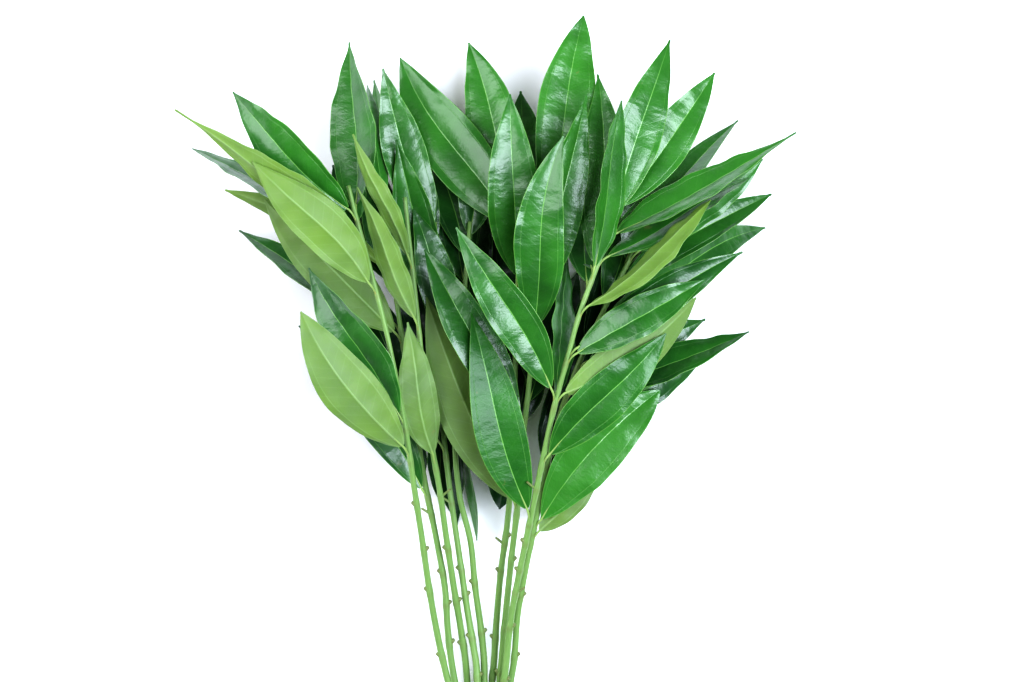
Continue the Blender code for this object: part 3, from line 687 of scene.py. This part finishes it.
def fineLeaf(leaf, seed, relief):
    draw = random.Random(seed)
    phase = [draw.uniform(0, 2 * math.pi) for _ in range(6)]
    strips = [draw.uniform(*leafShape["strip"]) for _ in range(2)]
    n = leafShape["along"]
    t = 0.5 - 0.5 * np.cos(np.linspace(0.0, 1.0, n) * math.pi)
    t = leafShape["start"] + t * (1 - leafShape["start"])
    half = leafShape["across"]
    s = np.array([-v for v in reversed(half)] + [0.0] + list(half))
    width = np.array([halfWidth(v, leaf["width"], leaf["tipPower"]) for v in t])
    width = np.maximum(width, leafShape["tipHalfWidth"])
    width[-len(leafShape["tipRound"]):] *= np.array(leafShape["tipRound"])
    centre = np.array([midribAt(leaf, v) for v in t])
    faced = [facing(leaf, v) for v in t]
    over = np.array([f[0] for f in faced])[:, None, :]
    side = np.array([f[1] for f in faced])[:, None, :]
    a, right = np.abs(s)[None, :], (s > 0)[None, :]
    grow, tt = width[:, None], t[:, None]
    # the outline wanders a little, each side on its own
    much, fast = leafShape["wander"]
    outline = 1 - much * relief * (1 + np.sin(tt * fast + np.where(right, phase[0], phase[1])))
    reach = grow * s[None, :] * outline
    rib = leafShape["sideRib"]
    soft = np.sqrt(a * a + leafShape["foldSoft"]) - math.sqrt(leafShape["foldSoft"])
    rise = leaf["fold"] * grow * soft
    pillow = leafShape["pillow"] * grow * np.sin(math.pi * np.minimum(a / rib, 1.0))
    bent = tt * leafShape["stripTurns"] + np.where(right, phase[2], phase[3])
    strip = np.where(right, *strips) * np.sin(bent) * grow * np.maximum(0.0, a - rib) / (1 - rib)
    waveFrom, swellFrom = leafShape["fullFrom"]
    wave = leafShape["edgeWave"] * a ** 3 * np.minimum(1.0, grow / waveFrom) * np.sin(
        tt * 2 * math.pi * leafShape["waves"] + np.where(right, phase[4], phase[5]))
    along, across = leafShape["swellMm"]
    swirl, skew = leafShape["swirl"]
    drift = reach / across + phase[3]
    swell = leafShape["swell"] * np.minimum(1.0, grow / swellFrom) * (
        np.sin(2 * math.pi * tt * leaf["chord"].length / along + swirl * np.sin(drift) + phase[2])
        * np.cos(drift * skew + phase[1]))
    grid = (centre[:, None, :] + side * reach[..., None]
            + over * (rise + relief * (pillow + strip + wave + swell))[..., None])
    middleGap, underGap = leafShape["floorGap"]
    grid[..., 2] = np.clip(grid[..., 2], leafShape["thick"] / 2 + middleGap, highest)
    normal = np.cross(np.gradient(grid, axis=1), np.gradient(grid, axis=0))
    normal /= np.linalg.norm(normal, axis=2, keepdims=True) + 1e-12
    if (normal * over).sum() < 0:
        normal = -normal
    ridge = np.exp(-(np.abs(reach) / leafShape["ribWidth"]) ** 2) * (1 - tt) ** leafShape["ribFade"]
    thin = leafShape["thick"] / 2 * (1 - leafShape["edgeThin"] * a ** 6)
    upper = grid + normal * (thin - leafShape["groove"] * ridge)[..., None]
    lower = grid - normal * (thin + leafShape["ribHeight"] * ridge)[..., None]
    lower[..., 2] = np.maximum(lower[..., 2], underGap)
    points = np.concatenate([upper.reshape(-1, 3), lower.reshape(-1, 3)])
    plan = np.stack(np.broadcast_arrays(s[None, :], tt), axis=2).reshape(-1, 2)
    real = np.stack(np.broadcast_arrays(reach, tt * leaf["chord"].length), axis=2).reshape(-1, 2)
    under = n * len(s)
    at = np.arange(under).reshape(n, -1)
    quads = np.stack([at[:-1, :-1], at[:-1, 1:], at[1:, 1:], at[1:, :-1]], axis=2).reshape(-1, 4)
    edge = [*at[::-1, 0].tolist(), *at[0, 1:].tolist(), *at[1:, -1].tolist(), *at[-1, -2:0:-1].tolist()]
    faces = quads.tolist() + (quads[:, ::-1] + under).tolist()
    faces += [(p, p + under, q + under, q) for p, q in zip(edge, edge[1:] + edge[:1])]
    kinds = [topKind] * len(quads) + [underKind] * len(quads) + [topKind] * len(edge)
    return points, faces, kinds, np.concatenate([plan, plan]), np.concatenate([real, real])


def tube(path, radii, sides):
    # rings round a path of points, closed at both ends
    points, count = [], len(path)
    upwards = abs((path[1] - path[0]).normalized().z) > 0.9
    across = Vector((1, 0, 0)) if upwards else Vector((0, 0, 1))
    for k in range(count):
        ahead = (path[min(count - 1, k + 1)] - path[max(0, k - 1)]).normalized()
        across = (across - ahead * across.dot(ahead)).normalized()
        points += ring(path[k], across, ahead.cross(across), radii[k], sides)
    return points, ringFaces(count, sides, split=False)


def finePetiole(leaf):
    n, within = petioleShape["rings"], petioleShape["ringsIn"]
    atStem, inMiddle, atBlade = [petioleShape["radius" + place] for place in ("Stem", "Middle", "Blade")]
    path, radii = [], []
    root, base = leaf["root"], leaf["base"]
    pull = (base - root).length * petioleShape["pull"]
    a = root + leaf["ahead"] * pull
    b = base - leaf["chord"].normalized() * pull
    for k in range(n):
        t = k / (n - 1)
        path.append(root * (1 - t) ** 3 + a * 3 * t * (1 - t) ** 2 + b * 3 * t * t * (1 - t) + base * t ** 3)
        if t < 0.5:
            radii.append(atStem + (inMiddle - atStem) * smooth(t * 2))
        else:
            radii.append(inMiddle + (atBlade - inMiddle) * smooth(t * 2 - 1))
    # it runs on under the blade as the start of the midrib
    for k in range(1, within + 1):
        t = petioleShape["runsIn"] * k / within
        path.append(midribAt(leaf, t) - facing(leaf, t)[0] * petioleShape["sinks"] * k / within)
        radii.append(atBlade * (1 - petioleShape["thins"] * k / within))
    return tube(path, radii, petioleShape["sides"])


def show(name, data):
    made = bpy.data.objects.new(name, data)
    bpy.context.scene.collection.objects.link(made)
    return made


def meshObject(name, points, faces, kinds, layers, values, finishes):
    # layers are UV maps by name, values are numbers for each point by name
    data = bpy.data.meshes.new(name)
    cloud = np.array([tuple(p) for p in points], dtype=float) * mm + np.array(moved)
    data.from_pydata(cloud.tolist(), [], faces)
    for finish in finishes:
        data.materials.append(finish)
    data.polygons.foreach_set("material_index", kinds)
    data.polygons.foreach_set("use_smooth", [True] * len(faces))
    corner = np.zeros(len(data.loops), dtype=np.int64)
    data.loops.foreach_get("vertex_index", corner)
    for key, coordinates in layers.items():
        layer = data.uv_layers.new(name=key)
        layer.data.foreach_set("uv", np.asarray(coordinates, dtype=np.float32)[corner].ravel())
    for key, numbers in values.items():
        attribute = data.attributes.new(key, "FLOAT", "POINT")
        attribute.data.foreach_set("value", np.asarray(numbers, dtype=np.float32))
    data.update()
    return show(name, data)


def linear(hexColour):
    values = [int(hexColour[i:i + 2], 16) / 255 for i in (1, 3, 5)]
    return [v / 12.92 if v <= 0.04045 else ((v + 0.055) / 1.055) ** 2.4 for v in values] + [1.0]


def newFinish(name):
    made = bpy.data.materials.new(name)
    made.use_nodes = True
    tree = made.node_tree
    tree.nodes.clear()

    def put(kind, inputs=(), out=0, **settings):
        # adds a node with its settings, values and links, and gives back one of its outputs; the
        # inputs are a dictionary, or a list in the order of the sockets
        node = tree.nodes.new("ShaderNode" + kind)
        for key, value in settings.items():
            setattr(node, key, value)
        for socket, value in inputs.items() if isinstance(inputs, dict) else enumerate(inputs):
            if isinstance(value, bpy.types.NodeSocket):
                tree.links.new(value, node.inputs[socket])
            else:
                node.inputs[socket].default_value = value
        return node.outputs[out] if len(node.outputs) else node

    return made, put


# Upper side of a cocculus leaf: leathery, deep green, with a thick waxy cuticle. The wax gives
# broad white highlights that break up where the blade is quilted between its veins.
leafTop = {
    "deep": "#0D3F15",
    "fresh": "#3D7F2C",
    "rib": "#8ABF66",
    "edge": "#86B95C",
    "ribMm": 0.34,
    "sideRibMm": 0.26,
    "ribShow": (0.5, 0.15, 0.02, 0.4),  # midrib, side ribs, small veins, edge
    "edgeMm": 0.45,
    "roughness": 0.34,
    "ior": 1.5,
    "coat": 0.42,
    "coatRoughness": 0.23,
    "quiltMm": (7.0, 4.2),  # across and along, between the small veins
    "quiltDepthMm": 0.42,
    "swellMm": 15.0,  # wider, softer dents
    "swellShare": 1.9,
    "grainMm": 1.1,
    "grainShare": 0.14,
    "veinDip": (0.04, 0.2),  # of the small veins and the side ribs, share of the quilt
    "toneShare": 0.6,  # how much of the green follows the leaf's tone, the rest is blotches
    "through": 0.12,  # light that comes through the blade
}
# Underside of the leaf: no wax, pale yellow-green and nearly matt, the veins stand out.
leafUnder = {
    "pale": "#64804B",
    "yellow": "#6C8C39",
    "rib": "#93B176",
    "ribMm": 0.6,
    "sideRibMm": 0.4,
    "ribShow": (0.42, 0.2, 0.06, 0.2),
    "edgeMm": 0.5,
    "roughness": 0.55,
    "ior": 1.45,
    "quiltMm": (9.0, 5.0),
    "quiltDepthMm": 0.3,
    "swellMm": 18.0,
    "swellShare": 1.5,
    "grainMm": 1.2,
    "grainShare": 0.1,
    "veinDip": (0.05, 0.15),
    "toneShare": 0.5,
    "through": 0.2,
}
# Both sides alike.
leafBoth = {
    "leastShare": 0.004,  # of the half width, so that nothing is divided by nought on the midrib
    "veinPitchMm": 8.0,  # between the small veins that leave the midrib
    "veinSlant": 0.8,
    "veinMm": 0.45,
    "lineEdge": (1.3, 0.5),  # where a line starts and where it is full, share of its width
    # where the midrib, side ribs, small veins and edge start to fade and are gone
    "lineFades": ((0.7, 0.98), (0.5, 0.88), (0.6, 0.9), (0.8, 0.97)),
    "blotchMm": 26.0,  # patches of lighter and darker green
    "blotchFrom": (0.3, 0.7),
    "toneApart": 60.0,  # how far apart the quilting of two leaves starts
    "old": "#06210B",  # painted shade on the leaves inside the bunch, which are dull as well
    "shadeInsideTones": (0.1, -0.45),  # tones at which the painted shade of a leaf inside the bunch starts and is full
    "shadeInsideShow": 0.6,
    "dullCoat": 0.75,  # share of the coat that a leaf inside the bunch or a dull leaf lacks
    "dullSpecular": 0.25,
    "scuff": "#7E7448",  # old bruises
    "scuffMm": 16.0,
    "scuffFrom": (0.66, 0.74),
    "scuffShow": 0.4,
    "lightMm": 0.5,  # how far light spreads inside the blade
    "lightShares": (0.5, 1.0, 0.2),  # of that for red, green and blue
}


def leafFinish(name, look, colourLow, colourHigh):
    made, put = newFinish(name)
    plan = put("UVMap", uv_map="leafPlan")
    real = put("UVMap", uv_map="leafMm")
    tone = put("Attribute", out=2, attribute_name="tone")
    where = put("TexCoord", out=3)
    u = put("Math", [put("SeparateXYZ", [plan])], operation="ABSOLUTE")
    v = put("SeparateXYZ", [plan], out=1)
    x = put("Math", [put("SeparateXYZ", [real])], operation="ABSOLUTE")
    y = put("SeparateXYZ", [real], out=1)
    # half the blade's width here, from which the distance to the side rib and the edge follows
    half = put("Math", [u, leafBoth["leastShare"]], operation="MAXIMUM")
    half = put("Math", [x, half], operation="DIVIDE")
    fromRib = put("Math", [u, leafShape["sideRib"]], operation="SUBTRACT")
    fromRib = put("Math", [put("Math", [fromRib], operation="ABSOLUTE"), half], operation="MULTIPLY")
    fromEdge = put("Math", [half, x], operation="SUBTRACT")
    slanted = put("Math", [x, -leafBoth["veinSlant"], y], operation="MULTIPLY_ADD")
    fromVein = put("Math", [slanted, leafBoth["veinPitchMm"] / 2], operation="PINGPONG")
    # every line fades towards the tip, the side ribs first
    widths = (look["ribMm"], look["sideRibMm"], leafBoth["veinMm"], look["edgeMm"])
    starts, full = leafBoth["lineEdge"]
    lines = []
    for distance, size, fades in zip((x, fromRib, fromVein, fromEdge), widths, leafBoth["lineFades"]):
        line = put("MapRange", [distance, size * starts, size * full, 0.0, 1.0],
                   interpolation_type="SMOOTHSTEP")
        toTip = put("MapRange", [v, *fades, 1.0, 0.0])
        lines.append(put("Math", [line, toTip], operation="MULTIPLY"))
    blotch = put("TexNoise", {"Vector": where, "Scale": 1 / (leafBoth["blotchMm"] * mm), "Detail": 3.0})
    blotch = put("MapRange", [blotch, *leafBoth["blotchFrom"], 0.0, 1.0 - look["toneShare"]])
    share = put("Math", [tone, look["toneShare"], blotch], operation="MULTIPLY_ADD")
    green = put("Mix", {0: share, 6: linear(colourLow), 7: linear(colourHigh)}, out=2, data_type="RGBA")
    # over the green lie the lines, the painted shade of the leaves inside the bunch and the bruises
    laidOver = [(put("Math", [line, much], operation="MULTIPLY"), colour) for line, much, colour in zip(
        lines, look["ribShow"], [look["rib"]] * 3 + [look.get("edge", look["rib"])])]
    # painted shade: leaves of a low tone, those inside the bunch, are darkened towards a near-black green
    shadedInside = put("MapRange", [tone, *leafBoth["shadeInsideTones"], 0.0, 1.0])
    laidOver.append((put("Math", [shadedInside, leafBoth["shadeInsideShow"]], operation="MULTIPLY"), leafBoth["old"]))
    bruise = put("TexNoise", {"Vector": where, "Scale": 1 / (leafBoth["scuffMm"] * mm), "Detail": 6.0,
                              "Roughness": 0.7})
    laidOver.append((put("MapRange", [bruise, *leafBoth["scuffFrom"], 0.0, leafBoth["scuffShow"]],
                         interpolation_type="SMOOTHSTEP"), leafBoth["scuff"]))
    for amount, colour in laidOver:
        green = put("Mix", {0: amount, 6: green, 7: linear(colour)}, out=2, data_type="RGBA")
    # the quilting is drawn on the leaf's own millimetres, wider across the blade than along it, and
    # starts elsewhere for each tone
    acrossMm, alongMm = look["quiltMm"]
    spot = put("CombineXYZ", [put("Math", [x, acrossMm], operation="DIVIDE"),
                              put("Math", [y, alongMm], operation="DIVIDE"),
                              put("Math", [tone, leafBoth["toneApart"]], operation="MULTIPLY")])
    height = put("TexNoise", {"Vector": spot, "Scale": 1.0, "Detail": 2.0, "Roughness": 0.45})
    for size, much, detail in ((look["grainMm"], look["grainShare"], 1.0),
                               (look["swellMm"], look["swellShare"], 0.0)):
        dents = put("TexNoise", {"Vector": where, "Scale": 1 / (size * mm), "Detail": detail})
        height = put("Math", [dents, much, height], operation="MULTIPLY_ADD")
    for line, dip in zip((lines[2], lines[1]), look["veinDip"]):
        height = put("Math", [line, -dip, height], operation="MULTIPLY_ADD")
    relief = put("Bump", {"Height": height, "Strength": 1.0, "Distance": look["quiltDepthMm"] * mm})
    surface = {"Base Color": green, "Roughness": look["roughness"], "IOR": look["ior"], "Normal": relief,
               "Subsurface Weight": look["through"], "Subsurface Scale": leafBoth["lightMm"] * mm,
               "Subsurface Radius": leafBoth["lightShares"]}
    if "coat" in look:
        # the leaves inside the bunch, which carry the painted shade, and those whose row says dull have less
        # wax
        dull = put("Attribute", out=2, attribute_name="dull")
        dull = put("Math", [shadedInside, dull], operation="MAXIMUM")
        surface["Coat Weight"] = put("Math", [dull, -leafBoth["dullCoat"] * look["coat"],
                                              look["coat"]], operation="MULTIPLY_ADD")
        surface["Specular IOR Level"] = put("Math", [dull, -leafBoth["dullSpecular"], 0.5],
                                            operation="MULTIPLY_ADD")
        surface.update({"Coat Roughness": look["coatRoughness"], "Coat Normal": relief})
    put("OutputMaterial", [put("BsdfPrincipled", surface)])
    return made


# Skin of a young green shoot: smooth and pale, finely streaked along its length, and brown
# and corky at the scars of its leaves.
greenBark = {
    "green": "#557E3B",
    "pale": "#8AA965",
    "brown": "#6C6440",
    "streakMm": (0.8, 14.0),  # across and along
    "fleckMm": 2.5,
}
# Petiole: the same skin, paler, turning brown where it meets the stem.
petioleSkin = {
    "green": "#73964A",
    "pale": "#97AF68",
    "brown": "#8A6B42",
    "streakMm": (0.8, 10.0),
    "fleckMm": 2.0,
}
skinBoth = {
    "roughness": 0.45,
    "ior": 1.45,
    "flecks": (1.2, 0.25),  # how much flecks break up the brown, and the brown between them
    "fleckShare": 0.4,  # of the relief, beside the streaks
    "reliefMm": 0.3,
    "reliefShow": 0.8,
}


def skinFinish(name, look):
    made, put = newFinish(name)
    real = put("UVMap", uv_map="leafMm")
    worn = put("Attribute", out=2, attribute_name="wear")
    where = put("TexCoord", out=3)
    acrossMm, alongMm = look["streakMm"]
    drawn = put("Mapping", {"Vector": real, "Scale": (1 / acrossMm, 1 / alongMm, 1.0)})
    streak = put("TexNoise", {"Vector": drawn, "Scale": 1.0, "Detail": 3.0})
    fleck = put("TexNoise", {"Vector": where, "Scale": 1 / (look["fleckMm"] * mm), "Detail": 4.0})
    tint = put("Mix", {0: streak, 6: linear(look["green"]), 7: linear(look["pale"])}, out=2, data_type="RGBA")
    brown = put("Math", [fleck, *skinBoth["flecks"]], operation="MULTIPLY_ADD")
    brown = put("Math", [worn, brown], operation="MULTIPLY", use_clamp=True)
    tint = put("Mix", {0: brown, 6: tint, 7: linear(look["brown"])}, out=2, data_type="RGBA")
    height = put("Math", [fleck, skinBoth["fleckShare"], streak], operation="MULTIPLY_ADD")
    relief = put("Bump", {"Height": height, "Strength": skinBoth["reliefShow"],
                          "Distance": skinBoth["reliefMm"] * mm})
    put("OutputMaterial", [put("BsdfPrincipled", {
        "Base Color": tint, "Roughness": skinBoth["roughness"], "IOR": skinBoth["ior"], "Normal": relief})])
    return made


# Natural rubber: matt, tan, with a pale bloom where it has dried.
rubberBand = {
    "tan": "#B0946A",
    "dark": "#8B6F4A",
    "roughness": 0.62,
    "ior": 1.52,
    "bloomMm": 2.5,
    "reliefMm": 0.1,
    "reliefShow": 0.5,
}


def rubberFinish():
    made, put = newFinish("driedNaturalRubber")
    where = put("TexCoord", out=3)
    bloom = put("TexNoise", {"Vector": where, "Scale": 1 / (rubberBand["bloomMm"] * mm), "Detail": 4.0})
    tint = put("Mix", {0: bloom, 6: linear(rubberBand["dark"]), 7: linear(rubberBand["tan"])}, out=2,
               data_type="RGBA")
    relief = put("Bump", {"Height": bloom, "Strength": rubberBand["reliefShow"],
                          "Distance": rubberBand["reliefMm"] * mm})
    put("OutputMaterial", [put("BsdfPrincipled", {
        "Base Color": tint, "Roughness": rubberBand["roughness"], "IOR": rubberBand["ior"],
        "Normal": relief})])
    return made


waxyTop = leafFinish("waxyLeafTop", leafTop, leafTop["deep"], leafTop["fresh"])
mattUnder = leafFinish("mattLeafUnderside", leafUnder, leafUnder["pale"], leafUnder["yellow"])
petioleFinish = skinFinish("greenPetiole", petioleSkin)
stemFinish = skinFinish("greenBark", greenBark)
bandFinish = rubberFinish()
print("finishes made")

wear = {
    "node": (0.35, 1.2),  # brown at a node, and how far along the stem
    "cutEnd": 0.5,
    "spur": (0.15, 0.75),  # at the stem and at its end
    "petiole": 0.9,  # at the stem
    "petioleRings": 5,  # rings from there to where it has gone
    "ringMm": (0.6, 1.4),  # of a petiole in its streaks, round it and along it
    "spurMm": 0.8,
}


def stemTube(one):
    sides, far = stemShape["sides"], 99.0
    nodes = [spur[0] for spur in one["spurs"]] + [leaf["rootY"] for leaf in leaves if leaf["stem"] is one]
    count = int((one["topY"] - one["cutY"]) / stemShape["step"]) + 1
    brown, reach = wear["node"]
    path, radii, worn = [], [], []
    for k in range(count + 1):
        y = one["cutY"] + (one["topY"] - one["cutY"]) * k / count
        near = min([abs(y - n) for n in nodes] + [far])
        swell = math.exp(-(near / stemShape["nodeReach"]) ** 2)
        path.append(stemAt(one, y))
        radii.append(stemRadius(one, y) * stemShape["slim"] * (1 + stemShape["nodeSwell"] * swell))
        worn.append(brown * math.exp(-(near / reach) ** 2) + (wear["cutEnd"] if k < 1 else 0.0))
    points, faces = tube(path, radii, sides)
    real = [(k % sides * radii[k // sides] * 2 * math.pi / sides, path[k // sides].y)
            for k in range(len(points))]
    worn = [worn[k // sides] for k in range(len(points))]
    sides, steps = stemShape["spurSides"], stemShape["spurSteps"]
    atStem, atEnd = wear["spur"]
    for y, side, length, (thick, thin) in one["spurs"]:
        centre, out = stemAt(one, y), spurWay(one, y, side)
        thick *= stemShape["spurSlim"]
        morePoints, moreFaces = tube([centre + out * length * k / steps for k in range(steps + 1)],
                                     [thick + (thin - thick) * k / steps for k in range(steps + 1)], sides)
        faces += shifted(moreFaces, len(points))
        points += morePoints
        for k in range(len(morePoints)):
            real.append((k % sides * wear["spurMm"], y + k // sides))
            worn.append(atStem + (atEnd - atStem) * (k // sides) / steps)
    return points, faces, real, worn


stemTubes = {one["number"]: stemTube(one) for one in stems}

# each blade keeps as much of its relief as the leaves and stems beside it leave room for
standing = [(treeOf(stemTubes[one["number"]][:2]), boxOf(stemTubes[one["number"]][0])) for one in stems]
for order, leaf in enumerate(leaves):
    leaf["inside"] = order >= len(leafRows)
    for relief in leafShape["reliefs"]:
        shape = fineLeaf(leaf, leafShape["seed"] + order, relief)
        tree, box = treeOf(shape[:2]), boxOf(shape[0])
        if not any(boxesMeet(box, otherBox) and tree.overlap(otherTree) for otherTree, otherBox in standing):
            break
    leaf["shape"], leaf["relief"] = shape, relief
    standing.append((tree, box))
print("blades by relief:", {relief: sum(1 for leaf in leaves if leaf["relief"] == relief)
                            for relief in leafShape["reliefs"]})

leafTones = {
    "least": 0.15,
    "young": 0.5,  # more, at the top of the bunch, where the leaves are young
    "youngFrom": 330.0,  # height in the plan of the tip where that starts
    "youngOver": 120.0,
    "chance": 0.3,
    "inside": 0.6,  # less, for the leaves behind those of the front: painted shade, as the inside of the bunch lies in shade
    "edgeOn": (60.0, 150.0),  # turns at which a blade stands edge-on
    "paintedLightThrough": 1.0,  # of such a blade: painted light, a lighter green that stands for the light coming through it
    "seed": 23,
}
draw = random.Random(leafTones["seed"])


def toneOf(leaf):
    young = smooth((leaf["tip"].y - leafTones["youngFrom"]) / leafTones["youngOver"])
    tone = leafTones["least"] + leafTones["young"] * young + leafTones["chance"] * draw.random()
    # painted shade: the leaves inside the bunch get a darker tone
    if leaf["inside"]:
        tone -= leafTones["inside"]
    # painted light: a blade that stands edge-on gets the lightest tone, for the light that comes through it
    low, high = leafTones["edgeOn"]
    if low < math.degrees(leaf["turn"]) < high:
        tone = leafTones["paintedLightThrough"]
    # the row says so where the photo's leaf is lighter or darker than that
    return tone if leaf["tone"] is None else leaf["tone"]


def dressLeaves(one):
    points, faces, kinds, plan, real, tones, dulls, worn = [], [], [], [], [], [], [], []
    sides = petioleShape["sides"]
    roundMm, alongMm = wear["ringMm"]
    for leaf in leaves:
        if leaf["stem"] is not one:
            continue
        bladePoints, bladeFaces, bladeKinds, bladePlan, bladeReal = leaf["shape"]
        petiolePoints, petioleFaces = finePetiole(leaf)
        faces += shifted(bladeFaces, len(points))
        points += bladePoints.tolist()
        faces += shifted(petioleFaces, len(points))
        points += petiolePoints
        kinds += bladeKinds + [petioleKind] * len(petioleFaces)
        plan += bladePlan.tolist() + [(0.0, 0.0)] * len(petiolePoints)
        real += bladeReal.tolist()
        worn += [0.0] * len(bladePoints)
        for k in range(len(petiolePoints)):
            real.append((k % sides * roundMm, k // sides * alongMm))
            worn.append(max(0.0, wear["petiole"] - (k // sides) / wear["petioleRings"]))
        tones += [toneOf(leaf)] * (len(bladePoints) + len(petiolePoints))
        dulls += [leaf["dull"]] * (len(bladePoints) + len(petiolePoints))
    made = meshObject(f"leaves_{one['number']}", points, faces, kinds, {"leafPlan": plan, "leafMm": real},
                      {"tone": tones, "dull": dulls, "wear": worn}, [waxyTop, mattUnder, petioleFinish])
    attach(made, "root")
    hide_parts(f"leafy_stem_{one['number']}")


def dressStem(one):
    points, faces, real, worn = stemTubes[one["number"]]
    made = meshObject(f"stem_{one['number']}", points, faces, [0] * len(faces), {"leafMm": real},
                      {"wear": worn}, [stemFinish])
    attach(made, "root")
    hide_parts(f"leafy_stem_{one['number']}")


def roundedOutline(halfX, halfZ, corner, steps):
    outline = []
    for quarter, (sx, sz) in enumerate(((1, 1), (-1, 1), (-1, -1), (1, -1))):
        for k in range(steps + 1):
            a = math.pi / 2 * (quarter + k / steps)
            outline.append((sx * (halfX - corner) + corner * math.cos(a),
                            sz * (halfZ - corner) + corner * math.sin(a)))
    return outline


def dressBand():
    strand, sides = band["thick"] / 2, band["sides"]
    halfX = (tieHigh.x - tieLow.x) / 2 / mm - strand
    halfZ = (tieHigh.z - tieLow.z) / 2 / mm - strand
    pitch = (band["height"] - 2 * strand) / (band["strands"] - 1)
    outline = roundedOutline(halfX, halfZ, stem["radiusCut"] + strand, band["cornerSteps"])
    count = len(outline)
    along = Vector((0, 1, 0))
    points, faces, real = [], [], []
    for turn in range(band["strands"]):
        y = band["y"] - band["height"] / 2 + strand + pitch * turn
        start = len(points)
        for k, (x, z) in enumerate(outline):
            bx, bz = outline[k - 1]
            ax, az = outline[(k + 1) % count]
            outward = Vector((ax - bx, 0, az - bz)).normalized().cross(along)
            points += ring(Vector((band["x"] + x, y, bandCentreZ + z)), outward, along, strand, sides)
            real += [(i / sides, k) for i in range(sides)]
        for k in range(count):
            for i in range(sides):
                j = (i + 1) % sides
                a, b = start + k * sides, start + (k + 1) % count * sides
                faces.append((a + i, b + i, b + j, a + j))
    made = meshObject("elastic_band", points, faces, [0] * len(faces), {"leafMm": real}, {}, [bandFinish])
    work = bmesh.new()
    work.from_mesh(made.data)
    bmesh.ops.recalc_face_normals(work, faces=work.faces)
    work.to_mesh(made.data)
    work.free()
    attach(made, "root")
    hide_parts("tie")


for one in stems:
    dressLeaves(one)
    dressStem(one)
dressBand()
print("pieces made")

photo = {
    "width": 1023,
    "mmPerPixel": 0.65,  # at the height of the middle of the leaves
    "middle": (14.0, 272.0),  # plan point in the middle of the picture
    "levelMm": 70.0,  # how high these leaves lie
    "distance": 3.0,  # of the camera, in metres
    "sensor": 36.0,
}
table = {"size": 8.0, "colour": "#FAFAFA", "roughness": 0.85}
room = {"colour": "#FFFFFF", "strength": 0.09}  # what the walls throw back
# name, place and size in metres, power, colour
lights = [
    ("softboxRight", (0.86, 0.05, 1.65), (1.1, 1.4), 53.0, "#E8EFFF"),
    ("softboxLeft", (-1.45, 0.50, 1.45), (1.75, 2.0), 48.0, "#F4F5FF"),
]

# White paint on a board: matt, so that nothing is mirrored in it.
tableFinish, put = newFinish("whitePaintedTable")
put("OutputMaterial", [put("BsdfPrincipled", {"Base Color": linear(table["colour"]),
                                              "Roughness": table["roughness"]})])
floorData = bpy.data.meshes.new("tableTop")
reach = table["size"] / 2
floorData.from_pydata([(-reach, -reach, 0), (reach, -reach, 0), (reach, reach, 0), (-reach, reach, 0)], [],
                      [(0, 1, 2, 3)])
floorData.materials.append(tableFinish)
floor = show("tableTop", floorData)

aim = Vector((photo["middle"][0], photo["middle"][1], photo["levelMm"])) * mm + moved
for name, place, size, power, colour in lights:
    lamp = bpy.data.lights.new(name, "AREA")
    lamp.shape = "RECTANGLE"
    lamp.size, lamp.size_y = size
    lamp.energy = power
    lamp.color = linear(colour)[:3]
    holder = show(name, lamp)
    holder.location = place
    holder.rotation_mode = "QUATERNION"
    holder.rotation_quaternion = (aim - holder.location).to_track_quat("-Z", "Y")

world = bpy.data.worlds.new("studio")
world.use_nodes = True
background = world.node_tree.nodes["Background"]
background.inputs["Color"].default_value = linear(room["colour"])
background.inputs["Strength"].default_value = room["strength"]
bpy.context.scene.world = world

lens = bpy.data.cameras.new("camera")
lens.sensor_width = photo["sensor"]
away = photo["distance"] - photo["levelMm"] * mm
lens.lens = photo["sensor"] * away / (photo["width"] * photo["mmPerPixel"] * mm)
camera = show("camera", lens)
camera.location = (aim.x, aim.y, photo["distance"])
bpy.context.scene.camera = camera
bpy.context.scene.view_settings.view_transform = "Standard"
bpy.context.scene.view_settings.look = "High Contrast"
print("stage set")

bpy.context.view_layer.update()
